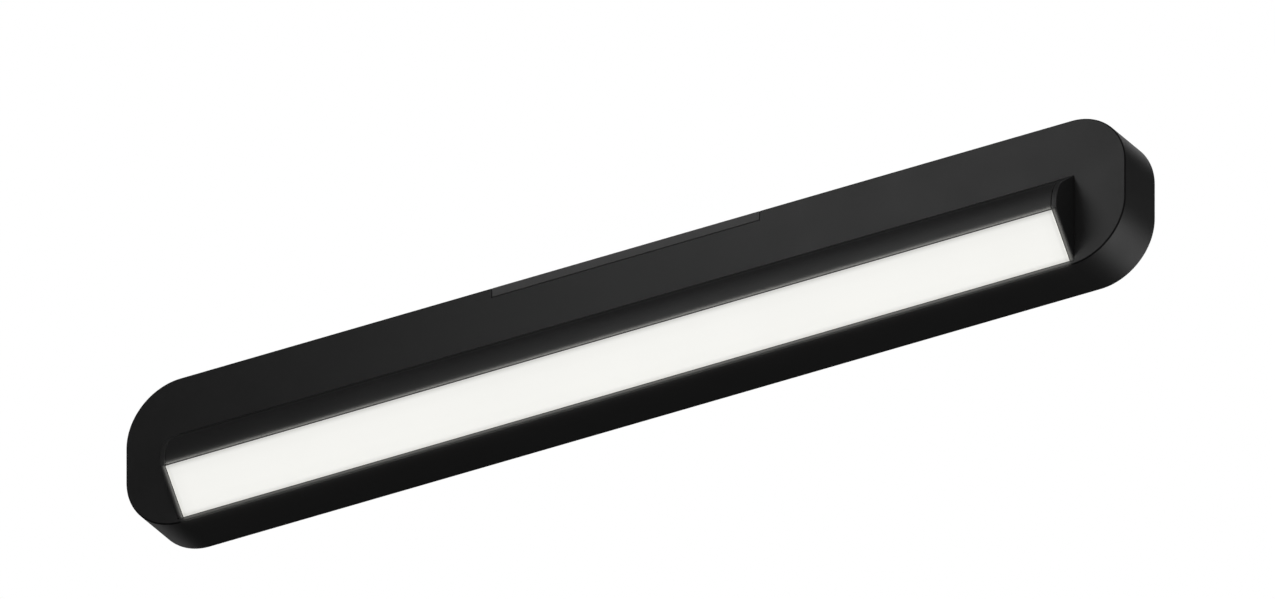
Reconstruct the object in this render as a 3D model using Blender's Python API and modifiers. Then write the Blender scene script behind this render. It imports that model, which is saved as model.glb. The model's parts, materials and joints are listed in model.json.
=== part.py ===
"""Wall-mounted linear LED batten: a flat capsule-shaped housing with a light bar that tilts in a slot.

+X runs along the housing, -Y points out of the wall and +Z is up. The origin is the centre of the
wall plate's back face, which lies on the wall. All sizes are in metres, all angles in degrees.

The light bar is modelled with its light going out along -Y, in the frame of an empty on its tilt
axis. The empty is then turned to the tilt that the bar rests at.
"""

import math

import bmesh
import bpy
from mathutils import Matrix, Vector

# Housing cover: a shell, open at the back
HOUSING_LENGTH = 0.600
HOUSING_HEIGHT = 0.0854
HOUSING_DEPTH = 0.0305
HOUSING_CORNER = 0.0326
HOUSING_WALL = 0.0015
HOUSING_EDGE = 0.0004
FRONT_Y = -HOUSING_DEPTH
FRONT_INNER_Y = FRONT_Y + HOUSING_WALL
TOP_Z = HOUSING_HEIGHT / 2

# Clearance between pieces that touch on the real object
GAP = 0.0003

# Wall plate
PLATE_THICKNESS = 0.0015
PLATE_CLEARANCE = 0.0004
PLATE_FRONT_Y = -PLATE_THICKNESS
SEAT_Y = PLATE_FRONT_Y - GAP
TAB_X = 0.190
TAB_WIDTH = 0.016
TAB_INSET = 0.0002
TOP_TAB_DEPTH = 0.014
BOTTOM_TAB_DEPTH = 0.009
COVER_SCREW_Y = -0.008
WALL_SLOT_X = 0.245
WALL_SLOT_Z = 0.022
WALL_SLOT_LENGTH = 0.010
WALL_SLOT_WIDTH = 0.006
CABLE_ENTRY_X = 0.035
CABLE_ENTRY_Z = 0.022
CABLE_ENTRY_RADIUS = 0.009
GROMMET_BORE = 0.006

# Light bar: a round bar whose front is cut off flat by the diffuser
BAR_AXIS_Y = FRONT_Y + 0.0080
BAR_AXIS_Z = -0.0150
BAR_RADIUS = 0.02585
BAR_TILT = 40.5
BAR_TRAVEL = 40.0
BAR_FACE = 0.0215
BAR_TOP_ANGLE = 133.0
BAR_BOTTOM_ANGLE = -90.0
BAR_WALL = 0.0018
FLAT_ANGLE = 93.3
FLAT_FROM_AXIS = 0.0244
FLAT_BLEND = 0.0120
BAR_OUTER_X = 0.2692
END_CAP_THICKNESS = 0.0032
PROFILE_X = BAR_OUTER_X - END_CAP_THICKNESS - 0.0002
WEB_FRONT = 0.0106
WEB_BACK = 0.0076
LIP = 0.0002
SHELF_FRONT = 0.0194
SHELF_BACK = 0.0184
SHELF_REACH = 0.0014
DIFFUSER_THICKNESS = 0.00165
DIFFUSER_RECESS = 0.0001
DIFFUSER_GAP = 0.00015
PORT_RADIUS_FROM_AXIS = 0.022
PORT_ANGLES = (124.0, -80.0)
PORT_RADIUS = 0.003
PORT_HOLE = 0.0015
SLOT_CLEARANCE = 0.00035
SLOT_HALF_LENGTH = 0.2701
SLOT_BOTTOM_Z = -0.0406

# LED board and reflector, by distance in front of the tilt axis
BOARD_BACK = 0.0109
BOARD_THICKNESS = 0.0012
BOARD_WIDTH = 0.012
BOARD_LENGTH = 0.524
LED_COUNT = 24
LED_PITCH = 0.022
LED_SIZE = 0.003
LED_HEIGHT = 0.0007
LED_WINDOW = 0.0044
REFLECTOR_BACK = 0.0124
REFLECTOR_TOP = 0.0181
REFLECTOR_SHEET = 0.0006
REFLECTOR_FLOOR = 0.0073
REFLECTOR_MOUTH = 0.0123

# Pivots, by distance from the middle of the bar
WASHER_X = BAR_OUTER_X + 0.0002
WASHER_THICKNESS = 0.0010
WASHER_RADIUS = 0.0060
BUSH_FLANGE_X = 0.2706
BUSH_FLANGE_THICKNESS = 0.0011
BUSH_FLANGE_RADIUS = 0.006
BUSH_RADIUS = 0.0043
BUSH_BORE = 0.0030
BUSH_END_X = 0.2750
BRACKET_X = 0.2720
BRACKET_SHEET = 0.0020
BRACKET_HOLE = 0.0046
BRACKET_FOOT_LENGTH = 0.015
BRACKET_FRONT_Y = -0.0284
BRACKET_TOP_Z = 0.0020
BRACKET_BOTTOM_Z = -0.0310
BRACKET_SCREW_X = 0.2805
BRACKET_SCREW_Z = {"upper": -0.0045, "lower": -0.0245}
PIN_RADIUS = 0.0029
PIN_THREAD_RADIUS = 0.0022
PIN_HEAD_RADIUS = 0.0045
PIN_HEAD_X = 0.2753
PIN_HEAD_HEIGHT = 0.0020
PIN_SHOULDER_X = BAR_OUTER_X + 0.0001
PIN_END_X = 0.2630
PIN_BORE = 0.0016
STOP_RADIUS = 0.0095
STOP_PIN_RADIUS = 0.0015
STOP_SLOT_CLEARANCE = 0.0003
STOP_REST_ANGLE = 20.0
STOP_SIDE = "right"
PIN_JOINT_X = 0.270
BOARD_LEAD_X = -0.252

# Switch bar, set flush into the top edge of the front face
SWITCH_LENGTH = 0.1604
SWITCH_HEIGHT = 0.0054
SWITCH_DEPTH = 0.0055
SWITCH_JOINT = 0.0004
SWITCH_TRAVEL = 0.0010
SWITCH_AXIS_Z = 0.0365
FLANGE_OVERLAP = 0.0035
FLANGE_FRONT_Y = FRONT_INNER_Y + GAP
FLANGE_THICKNESS = 0.0018
FLANGE_BOTTOM_Z = 0.0338
FLANGE_TOP_Z = 0.0408
STEM_X = 0.060
STEM_RADIUS = 0.0012
STEM_END_Y = -0.0140
PLUNGER_END_Y = -0.0232
FRAME_FRONT_Y = -0.0175
FRAME_THICKNESS = 0.0020
FRAME_BOTTOM_Z = 0.0312
FRAME_TOP_Z = 0.0406
FRAME_HALF_LENGTH = 0.086
FRAME_LEG = 0.005
FRAME_FOOT = 0.010
SPRING_SEAT_Y = -0.0242
SPRING_SEAT_RADIUS = 0.0027
SPRING_RADIUS = 0.0021
SPRING_WIRE = 0.00025
SPRING_TURNS = 5
BUTTON_FRONT_Y = PLUNGER_END_Y + SWITCH_TRAVEL + GAP

# Gear above the light bar
DRIVER_LEFT_X = -0.220
DRIVER_RIGHT_X = -0.010
DRIVER_BOTTOM_Z = 0.0130
DRIVER_TOP_Z = 0.0305
DRIVER_DEPTH = 0.0215
DRIVER_EAR = 0.008
DRIVER_EAR_SHEET = 0.0016
TERMINAL_X = 0.088
TERMINAL_SIZE = (0.030, 0.018, 0.015)
TERMINAL_PITCH = 0.0095
TERMINAL_WIRE_HOLE = 0.0017
CLAMP_X = 0.060
CLAMP_WIDTH = 0.008
CLAMP_BORE = 0.0042
CLAMP_SHEET = 0.0015
CLAMP_REACH = 0.0115
EARTH_X = 0.125
LEAD_RADIUS = 0.0011

# Screws
SCREW_THREAD = 0.0014
SCREW_HOLE = 0.0017
SCREW_HEAD = 0.0027
SCREW_HEAD_HEIGHT = 0.0016

SIDES = {"left": -1, "right": 1}

ARC_STEPS = 14
BLEND_STEPS = 6
ROUND_STEPS = 20
SCREW_STEPS = 12
WIRE_SIDES_LEVEL = 1

# Turns that lay a flat outline's own x, y and thickness along the object's axes
SECTION_ALONG_X = (math.radians(90), 0, math.radians(90))
FACING_FRONT = (math.radians(90), 0, 0)
FACING_RIGHT = (0, math.radians(90), 0)
FACING_LEFT = (0, math.radians(-90), 0)
UPRIGHT = (0, 0, 0)

MATERIALS = {
    "black_coated_metal": ((0.022, 0.022, 0.023), 0.62, 0.0),
    "graphite_plastic": ((0.060, 0.060, 0.062), 0.50, 0.0),
    "black_plastic": ((0.030, 0.030, 0.032), 0.55, 0.0),
    "black_aluminium": ((0.025, 0.025, 0.026), 0.55, 0.4),
    "opal_plastic": ((0.95, 0.95, 0.93), 0.45, 0.0),
    "white_plastic": ((0.85, 0.85, 0.84), 0.40, 0.0),
    "circuit_board": ((0.78, 0.80, 0.78), 0.45, 0.0),
    "green_circuit_board": ((0.03, 0.16, 0.07), 0.45, 0.0),
    "zinc_steel": ((0.62, 0.62, 0.60), 0.38, 1.0),
    "spring_steel": ((0.55, 0.55, 0.55), 0.30, 1.0),
    "rubber": ((0.02, 0.02, 0.02), 0.85, 0.0),
    "brown_insulation": ((0.20, 0.07, 0.03), 0.50, 0.0),
    "blue_insulation": ((0.03, 0.14, 0.50), 0.50, 0.0),
    "green_yellow_insulation": ((0.25, 0.50, 0.05), 0.50, 0.0),
    "red_black_insulation": ((0.30, 0.02, 0.02), 0.50, 0.0),
}


# ------------------------------------------------------------------ scene and materials


def clear_scene():
    for obj in list(bpy.data.objects):
        bpy.data.objects.remove(obj, do_unlink=True)


def new_collection(name):
    collection = bpy.data.collections.new(name)
    bpy.context.scene.collection.children.link(collection)
    return collection


def get_material(name):
    material = bpy.data.materials.get(name)
    if material:
        return material
    colour, roughness, metallic = MATERIALS[name]
    material = bpy.data.materials.new(name)
    material.use_nodes = True
    shader = material.node_tree.nodes["Principled BSDF"]
    shader.inputs["Base Color"].default_value = (*colour, 1.0)
    shader.inputs["Roughness"].default_value = roughness
    shader.inputs["Metallic"].default_value = metallic
    material.diffuse_color = (*colour, 1.0)
    return material


clear_scene()
PARTS = new_collection("led_batten")
CUTTERS = new_collection("cutters")


# ------------------------------------------------------------------ outlines


def arc(centre, radius, start, end, steps=ARC_STEPS):
    """Points on an arc, from the start angle to the end angle, both ends included."""
    points = []
    for step in range(steps + 1):
        angle = math.radians(start + (end - start) * step / steps)
        points.append((centre[0] + radius * math.cos(angle), centre[1] + radius * math.sin(angle)))
    return points


def circle(centre, radius, steps=ROUND_STEPS):
    return arc(centre, radius, 0, 360, steps)[:-1]


def rounded_rectangle(width, height, radius, centre=(0, 0), steps=ARC_STEPS):
    """A rectangle with round corners, anticlockwise from its right-hand end."""
    across = width / 2 - radius
    up = height / 2 - radius
    corners = [(across, up, 0), (-across, up, 90), (-across, -up, 180), (across, -up, 270)]
    points = []
    for x, y, start in corners:
        points += arc((centre[0] + x, centre[1] + y), radius, start, start + 90, steps)
    return points


def stadium(length, width, centre):
    """A slot with round ends, along the outline's x."""
    reach = (length - width) / 2
    right = arc((centre[0] + reach, centre[1]), width / 2, -90, 90, 8)
    left = arc((centre[0] - reach, centre[1]), width / 2, 90, 270, 8)
    return right + left


def bar_point(distance, angle):
    """A point of the bar's section, angle 0 being straight out through the diffuser."""
    turn = math.radians(angle)
    return (-distance * math.cos(turn), distance * math.sin(turn))


def bar_arc(distance, start, end, steps=ARC_STEPS):
    angles = [start + (end - start) * step / steps for step in range(steps + 1)]
    return [bar_point(distance, angle) for angle in angles]


def half_chord(radius, distance):
    return math.sqrt(radius**2 - distance**2)


def bar_top_wall(start):
    """The outside of the bar's upper wall, from a start angle to its top edge.

    A flat lies along its upper flank. The round front runs into the flat through a smaller radius.
    """
    turn = math.degrees(math.acos((FLAT_FROM_AXIS - FLAT_BLEND) / (BAR_RADIUS - FLAT_BLEND)))
    blend_start = FLAT_ANGLE - turn
    centre_y, centre_z = bar_point(BAR_RADIUS - FLAT_BLEND, blend_start)
    blend = bar_arc(FLAT_BLEND, blend_start, FLAT_ANGLE, BLEND_STEPS)
    flat_end = FLAT_ANGLE + math.degrees(math.acos(FLAT_FROM_AXIS / BAR_RADIUS))
    points = bar_arc(BAR_RADIUS, start, blend_start, BLEND_STEPS)
    points += [(centre_y + y, centre_z + z) for y, z in blend[1:]]
    points += bar_arc(BAR_RADIUS, flat_end, BAR_TOP_ANGLE, BLEND_STEPS)
    return points


# ------------------------------------------------------------------ meshes and objects


def weld(mesh):
    """Closes the seams between a curve's sides and its caps."""
    shape = bmesh.new()
    shape.from_mesh(mesh)
    bmesh.ops.remove_doubles(shape, verts=shape.verts, dist=1e-6)
    bmesh.ops.recalc_face_normals(shape, faces=shape.faces)
    shape.to_mesh(mesh)
    shape.free()
    return mesh


def baked_mesh(obj):
    """The object's shape with its modifiers applied. The object itself is removed."""
    bpy.context.view_layer.update()
    graph = bpy.context.evaluated_depsgraph_get()
    mesh = bpy.data.meshes.new_from_object(obj.evaluated_get(graph), depsgraph=graph)
    bpy.data.objects.remove(obj, do_unlink=True)
    return weld(mesh)


def sheet_mesh(name, outlines, thickness):
    """A flat piece: the first outline is its edge and the others are holes in it."""
    curve = bpy.data.curves.new(name, "CURVE")
    curve.dimensions = "2D"
    curve.fill_mode = "BOTH"
    curve.extrude = thickness / 2
    for outline in outlines:
        spline = curve.splines.new("POLY")
        spline.points.add(len(outline) - 1)
        for point, (x, y) in zip(spline.points, outline):
            point.co = (x, y, 0, 1)
        spline.use_cyclic_u = True
    obj = bpy.data.objects.new(name, curve)
    CUTTERS.objects.link(obj)
    return baked_mesh(obj)


def box_mesh(name, size):
    mesh = bpy.data.meshes.new(name)
    shape = bmesh.new()
    bmesh.ops.create_cube(shape, size=1.0, matrix=Matrix.Diagonal((*size, 1.0)))
    shape.to_mesh(mesh)
    shape.free()
    return mesh


def boxes_mesh(name, size, centres):
    mesh = bpy.data.meshes.new(name)
    shape = bmesh.new()
    for centre in centres:
        place = Matrix.Translation(centre) @ Matrix.Diagonal((*size, 1.0))
        bmesh.ops.create_cube(shape, size=1.0, matrix=place)
    shape.to_mesh(mesh)
    shape.free()
    return mesh


def cylinder_mesh(name, radius, length, steps=ROUND_STEPS):
    """A cylinder along its own z, centred."""
    mesh = bpy.data.meshes.new(name)
    shape = bmesh.new()
    bmesh.ops.create_cone(
        shape, cap_ends=True, segments=steps, radius1=radius, radius2=radius, depth=length
    )
    shape.to_mesh(mesh)
    shape.free()
    return mesh


def turned_mesh(name, profile, steps=ROUND_STEPS, closed=False):
    """A profile of (radius, height) points turned about z. It runs down the outside."""
    mesh = bpy.data.meshes.new(name)
    edges = [(i, i + 1) for i in range(len(profile) - 1)]
    if closed:
        edges.append((len(profile) - 1, 0))
    mesh.from_pydata([(radius, 0, height) for radius, height in profile], edges, [])
    obj = bpy.data.objects.new(name, mesh)
    CUTTERS.objects.link(obj)
    screw = obj.modifiers.new("turn", "SCREW")
    screw.axis = "Z"
    screw.steps = steps
    screw.render_steps = steps
    screw.use_merge_vertices = True
    screw.merge_threshold = 1e-5
    return baked_mesh(obj)


def add_part(name, mesh, material, location=(0, 0, 0), rotation=UPRIGHT, parent=None):
    obj = bpy.data.objects.new(name, mesh)
    PARTS.objects.link(obj)
    obj.location = location
    obj.rotation_euler = rotation
    obj.parent = parent
    if not mesh.materials:
        mesh.materials.append(get_material(material))
    mesh.shade_smooth()
    mesh.set_sharp_from_angle(angle=math.radians(35))
    return obj


def add_cutter(name, mesh, location=(0, 0, 0), rotation=UPRIGHT, parent=None):
    obj = bpy.data.objects.new(name, mesh)
    CUTTERS.objects.link(obj)
    obj.location = location
    obj.rotation_euler = rotation
    obj.parent = parent
    obj.hide_render = True
    obj.display_type = "WIRE"
    return obj


def combine(obj, other, operation):
    boolean = obj.modifiers.new(other.name, "BOOLEAN")
    boolean.operation = operation
    boolean.solver = "EXACT"
    boolean.object = other


def cut(obj, cutter):
    combine(obj, cutter, "DIFFERENCE")


def join(obj, addition):
    combine(obj, addition, "UNION")


def bevel_edges(obj, width, segments=2):
    bevel = obj.modifiers.new("edges", "BEVEL")
    bevel.width = width
    bevel.segments = segments
    bevel.limit_method = "ANGLE"
    bevel.angle_limit = math.radians(60)


def span(low, high):
    """The middle and the length of the stretch between two places."""
    return (low + high) / 2, abs(high - low)


def box_between(name, low, high):
    """A box cutter, or a lump to join, between two opposite corners."""
    spans = [span(a, b) for a, b in zip(low, high)]
    centre = [middle for middle, _ in spans]
    size = [length for _, length in spans]
    return add_cutter(name, box_mesh(name, size), centre)


def smooth_route(points, steps=4):
    """Points along a smooth curve through the route's own points (Catmull-Rom)."""
    ends = [2 * Vector(points[0]) - Vector(points[1]), 2 * Vector(points[-1]) - Vector(points[-2])]
    route = [ends[0], *map(Vector, points), ends[1]]
    smooth = []
    for i in range(1, len(route) - 2):
        before, start, end, after = route[i - 1 : i + 3]
        for step in range(steps):
            t = step / steps
            middle = 2 * start + (end - before) * t
            bend = (2 * before - 5 * start + 4 * end - after) * t**2
            twist = (3 * start - before - 3 * end + after) * t**3
            smooth.append((middle + bend + twist) / 2)
    smooth.append(Vector(points[-1]))
    return smooth


def wire_mesh(name, points, radius):
    curve = bpy.data.curves.new(name, "CURVE")
    curve.dimensions = "3D"
    curve.bevel_depth = radius
    curve.bevel_resolution = WIRE_SIDES_LEVEL
    curve.use_fill_caps = True
    spline = curve.splines.new("POLY")
    spline.points.add(len(points) - 1)
    for point, place in zip(spline.points, points):
        point.co = (*place, 1)
    obj = bpy.data.objects.new(name, curve)
    CUTTERS.objects.link(obj)
    return baked_mesh(obj)


def add_lead(name, points, material, parent=None):
    return add_part(name, wire_mesh(name, smooth_route(points), LEAD_RADIUS), material, parent=parent)


# ------------------------------------------------------------------ screws


def cut_recess(mesh, top, reach, depth, crossed):
    """Cuts a slot, or a cross, into a screw's head."""
    screw = add_cutter("screw_blank", mesh)
    half_slot = 0.00035
    low = top - depth
    high = top + depth
    slots = [box_between("recess_x", (-reach, -half_slot, low), (reach, half_slot, high))]
    if crossed:
        slots.append(box_between("recess_y", (-half_slot, -reach, low), (half_slot, reach, high)))
    for slot in slots:
        cut(screw, slot)
    result = baked_mesh(screw)
    for slot in slots:
        bpy.data.objects.remove(slot, do_unlink=True)
    return result


def pan_screw_mesh(name, length):
    """Underside of the head at z = 0, thread along -z."""
    profile = [
        (0, SCREW_HEAD_HEIGHT),
        (SCREW_HEAD * 0.70, SCREW_HEAD_HEIGHT),
        (SCREW_HEAD, SCREW_HEAD_HEIGHT * 0.50),
        (SCREW_HEAD, 0),
        (SCREW_THREAD, 0),
        (SCREW_THREAD, -length),
        (0, -length),
    ]
    mesh = turned_mesh(name, profile, SCREW_STEPS)
    return cut_recess(mesh, SCREW_HEAD_HEIGHT, SCREW_HEAD * 2, SCREW_HEAD_HEIGHT * 0.4, False)


def countersunk_screw_mesh(name, length):
    """Top of the head at z = 0, thread along -z."""
    cone = SCREW_HEAD - SCREW_THREAD
    profile = [
        (0, 0),
        (SCREW_HEAD, 0),
        (SCREW_THREAD, -cone),
        (SCREW_THREAD, -length),
        (0, -length),
    ]
    mesh = turned_mesh(name, profile, SCREW_STEPS)
    return cut_recess(mesh, 0, SCREW_HEAD * 0.55, SCREW_HEAD_HEIGHT * 0.45, True)


def countersink_mesh(name, length):
    """The hole for a countersunk screw, wider than it by the gap between pieces."""
    rim = SCREW_HEAD + GAP
    cone = rim - SCREW_HOLE
    overshoot = 0.001
    profile = [
        (0, overshoot),
        (rim, overshoot),
        (rim, 0),
        (SCREW_HOLE, -cone),
        (SCREW_HOLE, -length),
        (0, -length),
    ]
    return turned_mesh(name, profile, SCREW_STEPS)


# ------------------------------------------------------------------ housing


def make_housing_cover():
    outline = rounded_rectangle(HOUSING_LENGTH, HOUSING_HEIGHT, HOUSING_CORNER)
    mesh = sheet_mesh("housing_cover", [outline], HOUSING_DEPTH)
    cover = add_part(
        "housing_cover", mesh, "black_coated_metal", (0, -HOUSING_DEPTH / 2, 0), FACING_FRONT
    )
    bevel_edges(cover, HOUSING_EDGE)

    inside = rounded_rectangle(
        HOUSING_LENGTH - 2 * HOUSING_WALL,
        HOUSING_HEIGHT - 2 * HOUSING_WALL,
        HOUSING_CORNER - HOUSING_WALL,
    )
    hollow_depth = HOUSING_DEPTH
    hollow = sheet_mesh("housing_hollow", [inside], hollow_depth)
    hollow_y = FRONT_INNER_Y + hollow_depth / 2
    cut(cover, add_cutter("housing_hollow", hollow, (0, hollow_y, 0), FACING_FRONT))

    slot = sheet_mesh("bar_slot", [slot_outline()], 2 * SLOT_HALF_LENGTH)
    cut(cover, add_cutter("bar_slot", slot, rotation=SECTION_ALONG_X))

    notch_x = SWITCH_LENGTH / 2 + SWITCH_JOINT
    notch_back_y = FRONT_Y + SWITCH_DEPTH + SWITCH_TRAVEL + 0.0005
    notch_bottom_z = TOP_Z - SWITCH_HEIGHT - SWITCH_JOINT
    low = (-notch_x, FRONT_Y - 0.002, notch_bottom_z)
    high = (notch_x, notch_back_y, TOP_Z + 0.002)
    cut(cover, box_between("switch_notch", low, high))

    for side, sign in SIDES.items():
        hole = countersink_mesh("cover_hole_" + side, 0.006)
        place = (sign * TAB_X, COVER_SCREW_Y, TOP_Z)
        cut(cover, add_cutter("cover_hole_" + side, hole, place))


def slot_outline():
    """The light bar's slot in the front, in y and z: round above to follow the bar, straight below."""
    radius = BAR_RADIUS + SLOT_CLEARANCE
    before_y = FRONT_Y - 0.004
    behind_y = FRONT_INNER_Y + 0.0015
    angle_before = math.degrees(math.acos((before_y - BAR_AXIS_Y) / radius))
    angle_behind = math.degrees(math.acos((behind_y - BAR_AXIS_Y) / radius))
    top = arc((BAR_AXIS_Y, BAR_AXIS_Z), radius, angle_behind, angle_before, 8)
    return [(before_y, SLOT_BOTTOM_Z), (behind_y, SLOT_BOTTOM_Z), *top]


def make_wall_plate():
    shrink = 2 * (HOUSING_WALL + PLATE_CLEARANCE)
    length = HOUSING_LENGTH - shrink
    height = HOUSING_HEIGHT - shrink
    edge = rounded_rectangle(length, height, HOUSING_CORNER - shrink / 2)
    holes = [circle((CABLE_ENTRY_X, CABLE_ENTRY_Z), CABLE_ENTRY_RADIUS)]
    for sign in SIDES.values():
        centre = (sign * WALL_SLOT_X, WALL_SLOT_Z)
        holes.append(stadium(WALL_SLOT_LENGTH, WALL_SLOT_WIDTH, centre))
    for x, z in plate_screw_places():
        holes.append(circle((x, z), SCREW_HOLE, SCREW_STEPS))
    mesh = sheet_mesh("wall_plate", [edge, *holes], PLATE_THICKNESS)
    plate = add_part(
        "wall_plate", mesh, "zinc_steel", (0, -PLATE_THICKNESS / 2, 0), FACING_FRONT
    )

    edge_z = height / 2 - TAB_INSET
    for side, sign in SIDES.items():
        x_low = sign * TAB_X - TAB_WIDTH / 2
        x_high = sign * TAB_X + TAB_WIDTH / 2
        sink_y = PLATE_FRONT_Y + 0.0005
        top_low = (x_low, -TOP_TAB_DEPTH, edge_z - PLATE_THICKNESS)
        join(plate, box_between("top_tab_" + side, top_low, (x_high, sink_y, edge_z)))
        bottom_high = (x_high, sink_y, -edge_z + PLATE_THICKNESS)
        bottom = box_between("bottom_tab_" + side, (x_low, -BOTTOM_TAB_DEPTH, -edge_z), bottom_high)
        join(plate, bottom)
        hole = cylinder_mesh("tab_hole_" + side, SCREW_HOLE, 0.006, SCREW_STEPS)
        cut(plate, add_cutter("tab_hole_" + side, hole, (sign * TAB_X, COVER_SCREW_Y, edge_z)))


def plate_screw_places():
    """Where screws enter the wall plate, in x and z."""
    places = [(DRIVER_LEFT_X - DRIVER_EAR / 2, driver_middle_z())]
    places.append((DRIVER_RIGHT_X + DRIVER_EAR / 2, driver_middle_z()))
    places.append((EARTH_X, CABLE_ENTRY_Z))
    for sign in SIDES.values():
        places.append((sign * frame_foot_x(), SWITCH_AXIS_Z))
        places.append((CLAMP_X, CABLE_ENTRY_Z + sign * clamp_screw_reach()))
        places += [(sign * BRACKET_SCREW_X, z) for z in BRACKET_SCREW_Z.values()]
    return places


def driver_middle_z():
    return (DRIVER_BOTTOM_Z + DRIVER_TOP_Z) / 2


def frame_foot_x():
    return FRAME_HALF_LENGTH + FRAME_FOOT / 2


def clamp_screw_reach():
    return (CLAMP_BORE + CLAMP_SHEET + CLAMP_REACH) / 2


def make_cover_screws():
    mesh = countersunk_screw_mesh("cover_screw", 0.007)
    for side, sign in SIDES.items():
        add_part(
            "cover_screw_" + side, mesh, "zinc_steel", (sign * TAB_X, COVER_SCREW_Y, TOP_Z)
        )


def make_grommet():
    flange = 0.011
    sleeve = CABLE_ENTRY_RADIUS - GAP
    profile = [
        (GROMMET_BORE + 0.0006, 0.0012),
        (flange - 0.0006, 0.0012),
        (flange, 0.0006),
        (flange, 0),
        (sleeve, 0),
        (sleeve, -PLATE_THICKNESS),
        (GROMMET_BORE, -PLATE_THICKNESS),
        (GROMMET_BORE, 0.0006),
    ]
    mesh = turned_mesh("cable_grommet", profile, ROUND_STEPS, closed=True)
    place = (CABLE_ENTRY_X, SEAT_Y, CABLE_ENTRY_Z)
    add_part("cable_grommet", mesh, "rubber", place, FACING_FRONT)


# ------------------------------------------------------------------ pivots


def make_pivot_bracket(side, sign):
    """A sheet bracket: an upright plate with the bush's hole and the stop slot, and a foot."""
    low_z, high_z = BRACKET_BOTTOM_Z, BRACKET_TOP_Z
    middle_z, height = span(low_z, high_z)
    middle_y, depth = span(BRACKET_FRONT_Y, SEAT_Y)
    edge = rounded_rectangle(depth, height, 0.003, (middle_y, middle_z), 5)
    axis = (BAR_AXIS_Y, BAR_AXIS_Z)
    outlines = [edge, circle(axis, BRACKET_HOLE), stop_slot_outline()]
    mesh = sheet_mesh("pivot_bracket_" + side, outlines, BRACKET_SHEET)
    place = (sign * (BRACKET_X + BRACKET_SHEET / 2), 0, 0)
    bracket = add_part(
        "pivot_bracket_" + side, mesh, "zinc_steel", place, SECTION_ALONG_X
    )
    inner_x = sign * (BRACKET_X + 0.0003)
    outer_x = sign * (BRACKET_X + BRACKET_FOOT_LENGTH)
    foot_low = (min(inner_x, outer_x), SEAT_Y - BRACKET_SHEET, low_z + 0.003)
    foot_high = (max(inner_x, outer_x), SEAT_Y, high_z - 0.003)
    join(bracket, box_between("bracket_foot_" + side, foot_low, foot_high))
    for level, z in BRACKET_SCREW_Z.items():
        name = "bracket_hole_" + side + "_" + level
        hole = cylinder_mesh(name, SCREW_HOLE, 0.008, SCREW_STEPS)
        cut(bracket, add_cutter(name, hole, (sign * BRACKET_SCREW_X, SEAT_Y, z), FACING_FRONT))


def stop_slot_outline():
    """A curved slot about the tilt axis, which the stop pin runs along."""
    axis = (BAR_AXIS_Y, BAR_AXIS_Z)
    half_width = STOP_PIN_RADIUS + STOP_SLOT_CLEARANCE
    spare = math.degrees(STOP_SLOT_CLEARANCE / STOP_RADIUS)
    top = STOP_REST_ANGLE + spare
    bottom = STOP_REST_ANGLE - BAR_TRAVEL - spare
    top_end = arc(axis, STOP_RADIUS, top, top, 1)[0]
    bottom_end = arc(axis, STOP_RADIUS, bottom, bottom, 1)[0]
    points = arc(axis, STOP_RADIUS + half_width, bottom, top, 10)
    points += arc(top_end, half_width, top, top + 180, 8)[1:-1]
    points += arc(axis, STOP_RADIUS - half_width, top, bottom, 10)
    points += arc(bottom_end, half_width, bottom + 180, bottom + 360, 8)[1:-1]
    return points


def make_pivots():
    bush_sleeve = BUSH_END_X - BUSH_FLANGE_X
    bush_profile = [
        (BUSH_RADIUS, bush_sleeve),
        (BUSH_RADIUS, BUSH_FLANGE_THICKNESS),
        (BUSH_FLANGE_RADIUS, BUSH_FLANGE_THICKNESS),
        (BUSH_FLANGE_RADIUS, 0),
        (BUSH_BORE, 0),
        (BUSH_BORE, bush_sleeve),
    ]
    bush_mesh = turned_mesh("pivot_bush", bush_profile, closed=True)
    screw_mesh = pan_screw_mesh("bracket_screw", 0.0034)
    head_y = SEAT_Y - BRACKET_SHEET - GAP
    for side, sign in SIDES.items():
        facing = FACING_RIGHT if sign > 0 else FACING_LEFT
        make_pivot_bracket(side, sign)
        place = (sign * BUSH_FLANGE_X, BAR_AXIS_Y, BAR_AXIS_Z)
        add_part("pivot_bush_" + side, bush_mesh, "white_plastic", place, facing)
        for level, z in BRACKET_SCREW_Z.items():
            name = "bracket_screw_" + side + "_" + level
            place = (sign * BRACKET_SCREW_X, head_y, z)
            add_part(name, screw_mesh, "zinc_steel", place, FACING_FRONT)


# ------------------------------------------------------------------ light bar


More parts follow.
